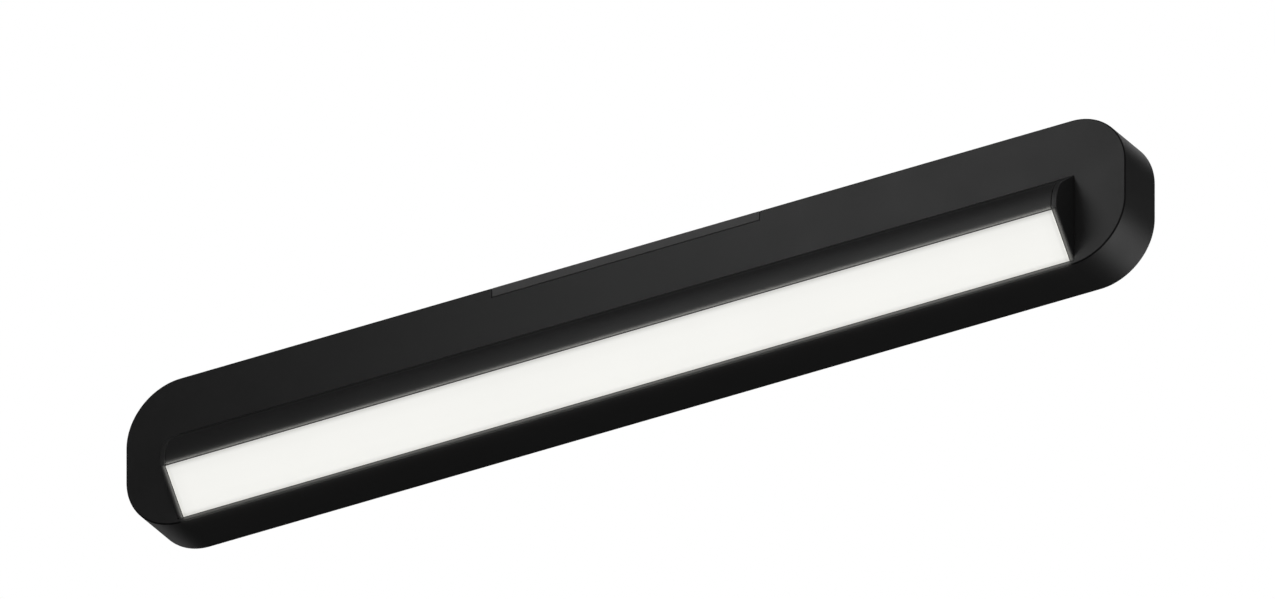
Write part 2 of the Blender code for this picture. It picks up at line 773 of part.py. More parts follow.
def profile_outline():
    """The extrusion's section in y and z: two curved walls, a web between them, lips and shelves."""
    inner = BAR_RADIUS - BAR_WALL
    face_half = half_chord(BAR_RADIUS, BAR_FACE)
    lip_half = face_half - LIP
    shelf_half = lip_half - SHELF_REACH
    lip_angle = math.degrees(math.asin(face_half / BAR_RADIUS))

    def inner_angle(distance):
        return math.degrees(math.acos(distance / inner))

    def front_hook(sign):
        """The lip and the shelf that hold the diffuser, on the top (1) or the bottom (-1)."""
        return [
            (-SHELF_BACK, sign * half_chord(inner, SHELF_BACK)),
            (-SHELF_BACK, sign * shelf_half),
            (-SHELF_FRONT, sign * shelf_half),
            (-SHELF_FRONT, sign * lip_half),
            (-BAR_FACE, sign * lip_half),
        ]

    flat_turn = math.degrees(math.acos((FLAT_FROM_AXIS - BAR_WALL) / inner))
    points = bar_top_wall(lip_angle)
    points += bar_arc(inner, BAR_TOP_ANGLE, FLAT_ANGLE + flat_turn, 4)
    points += bar_arc(inner, FLAT_ANGLE - flat_turn, inner_angle(WEB_BACK), 1)
    points += bar_arc(inner, -inner_angle(WEB_BACK), BAR_BOTTOM_ANGLE, 8)
    points += bar_arc(BAR_RADIUS, BAR_BOTTOM_ANGLE, -lip_angle)
    points += front_hook(-1)[::-1]
    points += bar_arc(inner, -inner_angle(SHELF_BACK), -inner_angle(WEB_FRONT), 6)[1:]
    points += bar_arc(inner, inner_angle(WEB_FRONT), inner_angle(SHELF_BACK), 6)[:-1]
    points += front_hook(1)
    return points


def make_bar_profile(parent):
    mesh = sheet_mesh("bar_profile", [profile_outline()], 2 * PROFILE_X)
    profile = add_part(
        "bar_profile", mesh, "black_aluminium", rotation=SECTION_ALONG_X, parent=parent
    )
    for number, angle in enumerate(PORT_ANGLES, start=1):
        y, z = bar_point(PORT_RADIUS_FROM_AXIS, angle)
        name = "screw_port_" + str(number)
        port = cylinder_mesh(name, PORT_RADIUS, 2 * PROFILE_X, 16)
        join(profile, add_cutter(name, port, (0, y, z), FACING_RIGHT, parent))
        hole = cylinder_mesh(name + "_hole", PORT_HOLE, 2 * PROFILE_X + 0.01, SCREW_STEPS)
        cut(profile, add_cutter(name + "_hole", hole, (0, y, z), FACING_RIGHT, parent))
    entry = cylinder_mesh("web_hole", 0.002, 0.010, ROUND_STEPS)
    place = (BOARD_LEAD_X, -(WEB_FRONT + WEB_BACK) / 2, 0)
    cut(profile, add_cutter("web_hole", entry, place, FACING_FRONT, parent))


def end_cap_outline():
    face_angle = math.degrees(math.acos(BAR_FACE / BAR_RADIUS))
    back = 0.013
    shoulder = 0.012
    points = bar_top_wall(face_angle)
    points += [(back, shoulder), (back, -shoulder)]
    points += bar_arc(BAR_RADIUS, BAR_BOTTOM_ANGLE, -face_angle)
    return points


def stop_pin_place():
    """The stop pin's place in the bar's own frame, in y and z."""
    return arc((0, 0), STOP_RADIUS, STOP_REST_ANGLE - BAR_TILT, 0, 1)[0]


def make_end_caps(parent):
    pin_hole = PIN_THREAD_RADIUS + GAP
    screw_mesh = countersunk_screw_mesh("end_cap_screw", 0.009)
    middle_x = BAR_OUTER_X - END_CAP_THICKNESS / 2
    for side, sign in SIDES.items():
        facing = FACING_RIGHT if sign > 0 else FACING_LEFT
        outlines = [end_cap_outline(), circle((0, 0), pin_hole)]
        if side == STOP_SIDE:
            outlines.append(circle(stop_pin_place(), STOP_PIN_RADIUS + GAP, SCREW_STEPS))
        mesh = sheet_mesh("end_cap_" + side, outlines, END_CAP_THICKNESS)
        place = (sign * middle_x, 0, 0)
        cap = add_part(
            "end_cap_" + side, mesh, "black_plastic", place, SECTION_ALONG_X, parent
        )
        for number, angle in enumerate(PORT_ANGLES, start=1):
            y, z = bar_point(PORT_RADIUS_FROM_AXIS, angle)
            name = "end_cap_screw_" + side + "_" + str(number)
            place = (sign * BAR_OUTER_X, y, z)
            hole = countersink_mesh(name + "_hole", 0.006)
            cut(cap, add_cutter(name + "_hole", hole, place, facing, parent))
            add_part(name, screw_mesh, "zinc_steel", place, facing, parent)


def make_pivot_pins(parent):
    """Shoulder screws from outside the brackets into the end caps. The left one is hollow."""
    head_top = PIN_HEAD_HEIGHT
    shoulder = PIN_SHOULDER_X - PIN_HEAD_X
    end = PIN_END_X - PIN_HEAD_X
    outside = [
        (PIN_HEAD_RADIUS - 0.0004, head_top),
        (PIN_HEAD_RADIUS, head_top - 0.0004),
        (PIN_HEAD_RADIUS, 0),
        (PIN_RADIUS, 0),
        (PIN_RADIUS, shoulder),
        (PIN_THREAD_RADIUS, shoulder),
        (PIN_THREAD_RADIUS, end),
    ]
    solid = turned_mesh("solid_pin", [(0, head_top), *outside, (0, end)])
    hollow_profile = [(PIN_BORE, head_top), *outside, (PIN_BORE, end)]
    hollow = turned_mesh("hollow_pin", hollow_profile, closed=True)
    washer_profile = [
        (WASHER_RADIUS, WASHER_THICKNESS),
        (WASHER_RADIUS, 0),
        (PIN_RADIUS + GAP, 0),
        (PIN_RADIUS + GAP, WASHER_THICKNESS),
    ]
    washer = turned_mesh("friction_washer", washer_profile, closed=True)
    for side, sign in SIDES.items():
        facing = FACING_RIGHT if sign > 0 else FACING_LEFT
        mesh = solid if side == STOP_SIDE else hollow
        place = (sign * PIN_HEAD_X, 0, 0)
        add_part("pivot_pin_" + side, mesh, "zinc_steel", place, facing, parent)
        place = (sign * WASHER_X, 0, 0)
        add_part("friction_washer_" + side, washer, "rubber", place, facing, parent)


def make_stop_pin(parent):
    start_x = BAR_OUTER_X - END_CAP_THICKNESS + GAP
    end_x = BRACKET_X + BRACKET_SHEET + 0.0008
    middle_x, length = span(start_x, end_x)
    y, z = stop_pin_place()
    mesh = cylinder_mesh("stop_pin", STOP_PIN_RADIUS, length, 16)
    add_part("stop_pin", mesh, "zinc_steel", (middle_x, y, z), FACING_RIGHT, parent)


def led_places(distance):
    first = -LED_PITCH * (LED_COUNT - 1) / 2
    return [(first + LED_PITCH * number, distance, 0) for number in range(LED_COUNT)]


def make_light_engine(parent):
    """The LED board, the white reflector around its LEDs and the opal diffuser over them."""
    board_size = (BOARD_LENGTH, BOARD_THICKNESS, BOARD_WIDTH)
    board_y = -(BOARD_BACK + BOARD_THICKNESS / 2)
    board = add_part(
        "led_board", box_mesh("led_board", board_size), "circuit_board", (0, board_y, 0), parent=parent
    )
    sink = 0.0003
    led_size = (LED_SIZE, LED_HEIGHT + sink, LED_SIZE)
    led_y = -(BOARD_BACK + BOARD_THICKNESS + (LED_HEIGHT - sink) / 2)
    leds = boxes_mesh("led_packages", led_size, led_places(led_y))
    join(board, add_cutter("led_packages", leds, parent=parent))

    floor_front = REFLECTOR_BACK + REFLECTOR_SHEET
    outline = [
        (-REFLECTOR_BACK, -REFLECTOR_FLOOR),
        (-REFLECTOR_BACK, REFLECTOR_FLOOR),
        (-REFLECTOR_TOP, REFLECTOR_MOUTH),
        (-REFLECTOR_TOP, REFLECTOR_MOUTH - REFLECTOR_SHEET),
        (-floor_front, REFLECTOR_FLOOR - REFLECTOR_SHEET / 2),
        (-floor_front, -REFLECTOR_FLOOR + REFLECTOR_SHEET / 2),
        (-REFLECTOR_TOP, -REFLECTOR_MOUTH + REFLECTOR_SHEET),
        (-REFLECTOR_TOP, -REFLECTOR_MOUTH),
    ]
    reflector = add_part(
        "reflector",
        sheet_mesh("reflector", [outline], BOARD_LENGTH),
        "white_plastic",
        rotation=SECTION_ALONG_X,
        parent=parent,
    )
    window_size = (LED_WINDOW, 0.002, LED_WINDOW)
    window_y = -(REFLECTOR_BACK + REFLECTOR_SHEET / 2)
    windows = boxes_mesh("led_windows", window_size, led_places(window_y))
    cut(reflector, add_cutter("led_windows", windows, parent=parent))

    width = 2 * (half_chord(BAR_RADIUS, BAR_FACE) - LIP - DIFFUSER_GAP)
    diffuser_size = (2 * PROFILE_X - 0.0004, DIFFUSER_THICKNESS, width)
    front = BAR_FACE - DIFFUSER_RECESS
    diffuser_y = -(front - DIFFUSER_THICKNESS / 2)
    diffuser = add_part(
        "diffuser", box_mesh("diffuser", diffuser_size), "opal_plastic", (0, diffuser_y, 0), parent=parent
    )
    bevel_edges(diffuser, 0.0003, 1)


def make_light_bar():
    axis = bpy.data.objects.new("light_bar_axis", None)
    PARTS.objects.link(axis)
    axis.location = (0, BAR_AXIS_Y, BAR_AXIS_Z)
    axis.rotation_euler = (math.radians(BAR_TILT), 0, 0)
    make_bar_profile(axis)
    make_end_caps(axis)
    make_pivot_pins(axis)
    make_stop_pin(axis)
    make_light_engine(axis)
    route = [
        (-PIN_JOINT_X + GAP / 2, 0, 0),
        (-0.2600, 0, 0),
        (BOARD_LEAD_X - 0.0035, -0.0006, 0),
        (BOARD_LEAD_X - 0.0006, -0.0040, 0),
        (BOARD_LEAD_X, -WEB_BACK, 0),
        (BOARD_LEAD_X, -WEB_FRONT, 0),
    ]
    add_lead("board_lead", route, "red_black_insulation", axis)


# ------------------------------------------------------------------ switch


def make_switch_bar():
    """The strip that is pressed, with a captive flange, two guide stems and a plunger behind it."""
    half_length = SWITCH_LENGTH / 2
    bottom_z = TOP_Z - SWITCH_HEIGHT
    middle_z = (bottom_z + TOP_Z) / 2
    size = (SWITCH_LENGTH, SWITCH_DEPTH, SWITCH_HEIGHT)
    place = (0, FRONT_Y + SWITCH_DEPTH / 2, middle_z)
    bar = add_part("switch_bar", box_mesh("switch_bar", size), "graphite_plastic", place)
    bevel_edges(bar, 0.00025, 1)

    flange_x = half_length + FLANGE_OVERLAP
    flange_back_y = FLANGE_FRONT_Y + FLANGE_THICKNESS
    low = (-flange_x, FLANGE_FRONT_Y, FLANGE_BOTTOM_Z)
    join(bar, box_between("switch_flange", low, (flange_x, flange_back_y, FLANGE_TOP_Z)))

    sink_y = flange_back_y - 0.0005
    plunger_low = (-0.0025, sink_y, SWITCH_AXIS_Z - 0.0022)
    plunger_high = (0.0025, PLUNGER_END_Y, SWITCH_AXIS_Z + 0.0022)
    join(bar, box_between("switch_plunger", plunger_low, plunger_high))
    for side, sign in SIDES.items():
        middle_y, length = span(sink_y, SPRING_SEAT_Y)
        seat = cylinder_mesh("spring_seat_" + side, SPRING_SEAT_RADIUS, length, SCREW_STEPS)
        place = (sign * STEM_X, middle_y, SWITCH_AXIS_Z)
        join(bar, add_cutter("spring_seat_" + side, seat, place, FACING_FRONT))
        middle_y, length = span(SPRING_SEAT_Y - 0.0005, STEM_END_Y)
        stem = cylinder_mesh("switch_stem_" + side, STEM_RADIUS, length, SCREW_STEPS)
        place = (sign * STEM_X, middle_y, SWITCH_AXIS_Z)
        join(bar, add_cutter("switch_stem_" + side, stem, place, FACING_FRONT))


def make_switch_frame():
    """A bridge on the wall plate that guides the stems and carries the switch board."""
    back_y = FRAME_FRONT_Y + FRAME_THICKNESS
    low = (-FRAME_HALF_LENGTH, FRAME_FRONT_Y, FRAME_BOTTOM_Z)
    high = (FRAME_HALF_LENGTH, back_y, FRAME_TOP_Z)
    spans = [span(a, b) for a, b in zip(low, high)]
    centre = [middle for middle, _ in spans]
    size = [length for _, length in spans]
    frame = add_part("switch_frame", box_mesh("switch_frame", size), "black_plastic", centre)
    for side, sign in SIDES.items():
        outer = sign * FRAME_HALF_LENGTH
        inner = sign * (FRAME_HALF_LENGTH - FRAME_LEG)
        leg_low = (min(inner, outer), back_y - 0.0005, FRAME_BOTTOM_Z)
        join(frame, box_between("frame_leg_" + side, leg_low, (max(inner, outer), SEAT_Y, FRAME_TOP_Z)))
        root = sign * (FRAME_HALF_LENGTH - 0.001)
        tip = sign * (FRAME_HALF_LENGTH + FRAME_FOOT)
        foot_low = (min(root, tip), SEAT_Y - FRAME_THICKNESS, FRAME_BOTTOM_Z)
        join(frame, box_between("frame_foot_" + side, foot_low, (max(root, tip), SEAT_Y, FRAME_TOP_Z)))
        hole = cylinder_mesh("foot_hole_" + side, SCREW_HOLE, 0.008, SCREW_STEPS)
        place = (sign * frame_foot_x(), SEAT_Y, SWITCH_AXIS_Z)
        cut(frame, add_cutter("foot_hole_" + side, hole, place, FACING_FRONT))
        guide = cylinder_mesh("stem_guide_" + side, STEM_RADIUS + GAP, 0.008, SCREW_STEPS)
        place = (sign * STEM_X, FRAME_FRONT_Y, SWITCH_AXIS_Z)
        cut(frame, add_cutter("stem_guide_" + side, guide, place, FACING_FRONT))

    screw_mesh = pan_screw_mesh("switch_frame_screw", 0.0034)
    for side, sign in SIDES.items():
        place = (sign * frame_foot_x(), SEAT_Y - FRAME_THICKNESS - GAP, SWITCH_AXIS_Z)
        add_part("switch_frame_screw_" + side, screw_mesh, "zinc_steel", place, FACING_FRONT)


def make_switch_board():
    board_back_y = FRAME_FRONT_Y - GAP
    board_thickness = 0.0012
    board_y = board_back_y - board_thickness / 2
    board = box_mesh("switch_board", (0.028, board_thickness, 0.0084))
    place = (0, board_y, SWITCH_AXIS_Z - 0.0003)
    add_part("switch_board", board, "green_circuit_board", place)

    body_back_y = board_back_y - board_thickness - GAP
    body_front_y = BUTTON_FRONT_Y + 0.0006
    middle_y, depth = span(body_front_y, body_back_y)
    size = (0.006, depth, 0.006)
    place = (0, middle_y, SWITCH_AXIS_Z)
    switch = add_part("tact_switch", box_mesh("tact_switch", size), "black_plastic", place)
    middle_y, depth = span(BUTTON_FRONT_Y, body_front_y + 0.0004)
    button = cylinder_mesh("tact_button", 0.0016, depth, SCREW_STEPS)
    join(switch, add_cutter("tact_button", button, (0, middle_y, SWITCH_AXIS_Z), FACING_FRONT))


def make_return_springs():
    start_y = SPRING_SEAT_Y + GAP + SPRING_WIRE
    end_y = FRAME_FRONT_Y - GAP - SPRING_WIRE
    points_per_turn = 10
    last = SPRING_TURNS * points_per_turn
    for side, sign in SIDES.items():
        points = []
        for step in range(last + 1):
            angle = 2 * math.pi * step / points_per_turn
            x = sign * STEM_X + SPRING_RADIUS * math.cos(angle)
            z = SWITCH_AXIS_Z + SPRING_RADIUS * math.sin(angle)
            points.append((x, start_y + (end_y - start_y) * step / last, z))
        name = "return_spring_" + side
        add_part(name, wire_mesh(name, points, SPRING_WIRE), "spring_steel")


# ------------------------------------------------------------------ electrics


def make_driver():
    middle_x, length = span(DRIVER_LEFT_X, DRIVER_RIGHT_X)
    middle_z, height = span(DRIVER_BOTTOM_Z, DRIVER_TOP_Z)
    body_back_y = SEAT_Y - DRIVER_EAR_SHEET / 2
    place = (middle_x, body_back_y - DRIVER_DEPTH / 2, middle_z)
    body = box_mesh("led_driver", (length, DRIVER_DEPTH, height))
    driver = add_part("led_driver", body, "white_plastic", place)
    bevel_edges(driver, 0.0004, 1)
    ears = {"left": (DRIVER_LEFT_X, -1), "right": (DRIVER_RIGHT_X, 1)}
    screw_mesh = pan_screw_mesh("driver_screw", 0.0030)
    for side, (edge_x, sign) in ears.items():
        root = edge_x - sign * 0.002
        tip = edge_x + sign * DRIVER_EAR
        low = (min(root, tip), SEAT_Y - DRIVER_EAR_SHEET, DRIVER_BOTTOM_Z + 0.003)
        high = (max(root, tip), SEAT_Y, DRIVER_TOP_Z - 0.003)
        join(driver, box_between("driver_ear_" + side, low, high))
        screw_x = edge_x + sign * DRIVER_EAR / 2
        hole = cylinder_mesh("driver_hole_" + side, SCREW_HOLE, 0.008, SCREW_STEPS)
        place = (screw_x, SEAT_Y, middle_z)
        cut(driver, add_cutter("driver_hole_" + side, hole, place, FACING_FRONT))
        place = (screw_x, SEAT_Y - DRIVER_EAR_SHEET - GAP, middle_z)
        add_part("driver_screw_" + side, screw_mesh, "zinc_steel", place, FACING_FRONT)


def terminal_levels():
    """The heights of the terminal block's three poles and their names."""
    middle = CABLE_ENTRY_Z
    step = TERMINAL_SIZE[2] / 3
    return {"live": middle + step, "earth": middle, "neutral": middle - step}


def make_terminal_block():
    width, depth, height = TERMINAL_SIZE
    block_y = SEAT_Y - depth / 2
    body = box_mesh("terminal_block", TERMINAL_SIZE)
    block = add_part("terminal_block", body, "white_plastic", (TERMINAL_X, block_y, CABLE_ENTRY_Z))
    bevel_edges(block, 0.0005, 1)
    wire_y = block_y + 0.002
    head_radius = 0.0014
    well = 0.004
    screw_profile = [
        (0, 0),
        (head_radius, 0),
        (head_radius, -0.0020),
        (head_radius * 0.7, -0.0022),
        (0, -0.0022),
    ]
    screw_mesh = turned_mesh("terminal_screw", screw_profile, SCREW_STEPS)
    for number, (pole, z) in enumerate(terminal_levels().items(), start=1):
        hole = cylinder_mesh("wire_hole_" + pole, TERMINAL_WIRE_HOLE, width + 0.004, SCREW_STEPS)
        cut(block, add_cutter("wire_hole_" + pole, hole, (TERMINAL_X, wire_y, z), FACING_RIGHT))
        front_y = SEAT_Y - depth
        screw_well = cylinder_mesh("screw_well_" + pole, head_radius + GAP, 2 * well, SCREW_STEPS)
        place = (TERMINAL_X, front_y, z)
        cut(block, add_cutter("screw_well_" + pole, screw_well, place, FACING_FRONT))
        place = (TERMINAL_X, front_y + well - GAP - 0.0022, z)
        add_part("terminal_screw_" + str(number), screw_mesh, "zinc_steel", place, FACING_FRONT)


def make_cord_clamp():
    """A saddle over the supply cable: two feet with an arch between them, cut from one strip."""
    outer = CLAMP_BORE + CLAMP_SHEET
    foot = CLAMP_SHEET
    centre_up = CLAMP_BORE + 0.0005
    arch_out = arc((0, centre_up), outer, 180, 0, 12)
    arch_in = arc((0, centre_up), CLAMP_BORE, 0, 180, 12)
    points = [(-CLAMP_REACH, 0), (-CLAMP_REACH, foot), (-outer, foot)]
    points += arch_out
    points += [(outer, foot), (CLAMP_REACH, foot), (CLAMP_REACH, 0), (CLAMP_BORE, 0)]
    points += arch_in
    points += [(-CLAMP_BORE, 0)]
    mesh = sheet_mesh("cord_clamp", [points], CLAMP_WIDTH)
    # The outline's x runs down (-z) and its y runs out of the wall (-y).
    turned = Matrix(((0, 0, -1), (0, -1, 0), (-1, 0, 0))).to_euler()
    clamp = add_part(
        "cord_clamp", mesh, "black_plastic", (CLAMP_X, SEAT_Y, CABLE_ENTRY_Z), turned
    )
    screw_mesh = pan_screw_mesh("cord_clamp_screw", 0.0028)
    for level, sign in {"upper": 1, "lower": -1}.items():
        z = CABLE_ENTRY_Z + sign * clamp_screw_reach()
        hole = cylinder_mesh("clamp_hole_" + level, SCREW_HOLE, 0.006, SCREW_STEPS)
        cut(clamp, add_cutter("clamp_hole_" + level, hole, (CLAMP_X, SEAT_Y, z), FACING_FRONT))
        place = (CLAMP_X, SEAT_Y - foot - GAP, z)
        add_part("cord_clamp_screw_" + level, screw_mesh, "zinc_steel", place, FACING_FRONT)


def make_earth_screw():
    screw_mesh = pan_screw_mesh("earth_screw", 0.0040)
    place = (EARTH_X, SEAT_Y - 0.0012, CABLE_ENTRY_Z)
    add_part("earth_screw", screw_mesh, "zinc_steel", place, FACING_FRONT)


def make_leads():
    """Wires that stay inside the housing. Each stops a small gap before what it goes into."""
    wire_y = SEAT_Y - TERMINAL_SIZE[1] / 2 + 0.002
    block_left = TERMINAL_X - TERMINAL_SIZE[0] / 2
    block_right = TERMINAL_X + TERMINAL_SIZE[0] / 2
    driver_end = DRIVER_RIGHT_X + GAP
    front_y = -0.0195
    levels = terminal_levels()
    colours = {"live": "brown_insulation", "neutral": "blue_insulation"}
    for pole, colour in colours.items():
        z = levels[pole]
        route = [
            (driver_end, front_y, z),
            (driver_end + 0.012, front_y, z),
            (CABLE_ENTRY_X, front_y, z),
            (block_left - 0.018, front_y, z),
            (block_left - 0.006, (front_y + wire_y) / 2, z),
            (block_left - 0.001, wire_y, z),
            (block_left + 0.006, wire_y, z),
        ]
        add_lead("supply_lead_" + pole, route, colour)

    earth_z = levels["earth"]
    route = [
        (block_right - 0.006, wire_y, earth_z),
        (block_right + 0.002, wire_y, earth_z),
        (block_right + 0.010, wire_y + 0.003, earth_z),
        (EARTH_X - 0.006, SEAT_Y - 0.003, earth_z),
        (EARTH_X - SCREW_HEAD - GAP, SEAT_Y - 0.0016, earth_z),
    ]
    add_lead("earth_lead", route, "green_yellow_insulation")

    route = [
        (DRIVER_LEFT_X - GAP, -0.012, driver_middle_z()),
        (DRIVER_LEFT_X - 0.012, -0.012, 0.0215),
        (-0.2560, -0.0125, 0.0185),
        (-0.2760, -0.0150, 0.0090),
        (-0.2880, -0.0180, -0.0040),
        (-0.2890, BAR_AXIS_Y, -0.0115),
        (-0.2845, BAR_AXIS_Y, BAR_AXIS_Z),
        (-0.2790, BAR_AXIS_Y, BAR_AXIS_Z),
        (-PIN_JOINT_X - GAP / 2, BAR_AXIS_Y, BAR_AXIS_Z),
    ]
    add_lead("driver_output_lead", route, "red_black_insulation")

    board_y = FRAME_FRONT_Y - 0.0009
    route = [
        (-0.0140 - GAP, board_y, SWITCH_AXIS_Z - 0.002),
        (-0.0200, board_y, SWITCH_AXIS_Z - 0.002),
        (-0.0260, board_y, SWITCH_AXIS_Z - 0.0026),
        (-0.0290, board_y, SWITCH_AXIS_Z - 0.0040),
        (-0.0300, board_y, DRIVER_TOP_Z + GAP),
    ]
    name = "switch_lead"
    add_part(name, wire_mesh(name, smooth_route(route), 0.0007), "red_black_insulation")


make_housing_cover()
make_wall_plate()
make_cover_screws()
make_grommet()
make_pivots()
make_light_bar()
make_switch_bar()
make_switch_frame()
make_switch_board()
make_return_springs()
make_driver()
make_terminal_block()
make_cord_clamp()
make_earth_screw()
make_leads()
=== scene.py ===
"""The looks of a wall-mounted linear LED luminaire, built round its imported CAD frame.

Everything is in metres in the frame's own axes: +X along the housing, -Y out of the wall, +Z up.
Pieces of the light bar are built in the bar's own frame, in which the light goes out along -Y.
"""

import json
import math

import bmesh
import bpy
from mathutils import Matrix, Vector


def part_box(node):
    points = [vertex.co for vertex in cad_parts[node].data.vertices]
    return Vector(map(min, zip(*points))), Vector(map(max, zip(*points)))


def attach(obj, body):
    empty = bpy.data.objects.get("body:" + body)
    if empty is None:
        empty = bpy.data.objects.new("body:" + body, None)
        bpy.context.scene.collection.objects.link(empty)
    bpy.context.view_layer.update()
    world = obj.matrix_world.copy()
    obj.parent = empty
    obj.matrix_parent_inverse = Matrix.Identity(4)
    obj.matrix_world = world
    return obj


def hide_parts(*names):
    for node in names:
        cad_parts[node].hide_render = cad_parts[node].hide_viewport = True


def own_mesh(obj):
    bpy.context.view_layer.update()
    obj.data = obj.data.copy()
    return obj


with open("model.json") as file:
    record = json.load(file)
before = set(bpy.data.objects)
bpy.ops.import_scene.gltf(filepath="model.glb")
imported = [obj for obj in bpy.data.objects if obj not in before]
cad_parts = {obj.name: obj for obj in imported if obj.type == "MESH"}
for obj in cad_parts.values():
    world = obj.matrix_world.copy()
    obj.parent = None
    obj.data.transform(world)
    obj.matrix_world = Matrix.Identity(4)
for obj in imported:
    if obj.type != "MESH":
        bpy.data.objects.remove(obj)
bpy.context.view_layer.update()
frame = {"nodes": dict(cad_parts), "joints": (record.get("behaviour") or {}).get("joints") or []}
NODES = frame["nodes"]
JOINTS = {joint["name"]: joint for joint in frame["joints"]}

# ------------------------------------------------------------------ sizes

# The housing's cover
COVER_LOW, COVER_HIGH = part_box("housing_cover")
LENGTH = COVER_HIGH.x - COVER_LOW.x
HEIGHT = COVER_HIGH.z - COVER_LOW.z
DEPTH = COVER_HIGH.y - COVER_LOW.y
FRONT_Y = COVER_LOW.y
TOP_Z = COVER_HIGH.z
CORNER = 0.0326
WALL = 0.0015
EDGE = 0.0007
CUT_EDGE = 0.00025
FINE_EDGE = 0.00012
# How far cutters reach past the surface that they cut
CUT_MARGIN = 0.001
# How squarely the faces of the front's rounded rim look out of the wall, from least to most, for
# the faces that take the painted edge shade
RIM_FACING = (0.15, 0.985)

# The cover screws: head, cross recess, thread, and how far each was turned, in degrees
SCREW_HOLE_SPARE = 0.0003
SCREW_SEAT_DEPTH = 0.0014
SCREW_HOLE_DEPTH = 0.006
SCREW_HEAD_CHAMFER = 0.00008
SCREW_HEAD_BAND = 0.0002
SCREW_THREAD_RADIUS = 0.0014
SCREW_THREAD_DEPTH = 0.00018
SCREW_PITCH = 0.0005
SCREW_NECK = 0.0003
SCREW_PLAIN_LENGTH = 0.0004
SCREW_TIP_CHAMFER = 0.0003
# The recess's reach is a share of the head's radius
RECESS_REACH = 0.56
RECESS_HALF_WIDTH = 0.0003
RECESS_DEPTH = 0.0009
SCREW_TURN = {"left": 28, "right": 71}

# The light bar: distances from its axis, and angles in degrees from the way that it faces
AXIS = Vector(JOINTS["light_bar_tilt"]["pos_m"])
CAP_LOW, CAP_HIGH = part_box("end_cap_right")
BAR_RADIUS = AXIS.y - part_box("bar_profile")[0].y
BAR_OUTER_X = CAP_HIGH.x
CAP_THICKNESS = CAP_HIGH.x - CAP_LOW.x
PROFILE_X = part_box("bar_profile")[1].x
DIFFUSER_MIDDLE = sum(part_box("diffuser"), Vector()) / 2
TILT = math.atan2(AXIS.z - DIFFUSER_MIDDLE.z, AXIS.y - DIFFUSER_MIDDLE.y)
BAR_FRAME = Matrix.Translation(AXIS) @ Matrix.Rotation(TILT, 4, "X")
BAR_FACE = 0.0215
BAR_WALL = 0.0018
BAR_TOP_ANGLE = 133.0
BAR_BOTTOM_ANGLE = -90.0
FLAT_ANGLE = 93.3
FLAT_FROM_AXIS = 0.0244
FLAT_BLEND = 0.0120
LIP = 0.0002
SHELF_FRONT = 0.0194
SHELF_BACK = 0.0184
SHELF_REACH = 0.0014
WEB_FRONT = 0.0106
WEB_BACK = 0.0076
DIFFUSER_THICKNESS = 0.00165
DIFFUSER_RECESS = 0.0001
DIFFUSER_GAP = 0.00004
DIFFUSER_EDGE = 0.0002
DIFFUSER_X = CAP_LOW.x - DIFFUSER_GAP
CAP_BACK = 0.013
CAP_SHOULDER = 0.012
CAP_EDGE = 0.0004

# The bar's slot, which shows no gap round the bar
SLOT_CLEARANCE = 0.00006
SLOT_END_CLEARANCE = 0.0001
SLOT_HALF_LENGTH = BAR_OUTER_X + SLOT_END_CLEARANCE
SLOT_BOTTOM_Z = -0.0406
SLOT_RIM_TOP_Z = 0.02
SLOT_BEFORE_Y = FRONT_Y - 0.004
SLOT_BEHIND_Y = FRONT_Y + 0.003

# The switch strip, with the flange, the plunger and the stems behind it
SWITCH_JOINT = 0.0004
SWITCH_HEIGHT = 0.0054
SWITCH_HALF_LENGTH = 0.0802
SWITCH_DEPTH = 0.0055
SWITCH_TRAVEL = JOINTS["switch_press"]["range_m"][1]
SWITCH_EDGE = 0.00025
SWITCH_AXIS_Z = 0.0365
FLANGE_GAP = 0.0003
FLANGE_FRONT_Y = FRONT_Y + WALL + FLANGE_GAP
FLANGE_THICKNESS = 0.0018
FLANGE_TOP_Z = 0.0408
PLUNGER_HALF = 0.0023
PLUNGER_END_Y = -0.0232
SPRING_SEAT_Y = -0.0242
SEAT_RADIUS = 0.0027
STEM_X = 0.060
STEM_RADIUS = 0.0012
STEM_END_Y = -0.0140
STEM_CHAMFER = 0.0003
JOIN = 0.0005
NOTCH_SPARE = 0.0005
NOTCH_RIM = 0.001

# The strip's return springs
SPRING_WIRE = 0.00025
SPRING_TURNS = 5

# The CAD nodes that are shown as they are: how near two points join, and the edges' rounds
CAD_WELD = 0.000001
CAD_EDGE = 0.0001
CAD_EDGES = {
    "led_driver": 0.0004,
    "terminal_block": 0.0004,
    "switch_frame": 0.0003,
    "cord_clamp": 0.0003,
    "wall_plate": 0.00015,
    "pivot_bracket_left": 0.0002,
    "pivot_bracket_right": 0.0002,
}

# The lit panel, and the thin lamps that stand for its glow on the edges round it
OPAL_GLOW = 0.855
SPILL_COLOUR = (1.0, 0.99, 0.93)
SPILL_WIDTH = 0.0014
SPILL_STAND_OFF = 0.0009
SPILL_POWER = 0.0125
UPPER_SPILL_OFFSET = 0.0014
LOWER_SPILL_OFFSET = 0.0011
CAP_SPILL_POWER = 0.0004
LIP_SPILL_POWER = 0.0055
LIP_SPILL_RISE = 0.0004
LIP_SPILL_TURN = 50
UNDER_SPILL_POWER = 0.006
UNDER_SPILL_DROP = 0.0024
UNDER_SPILL_TURN = 160

# The even light from all round
AMBIENT = 0.044

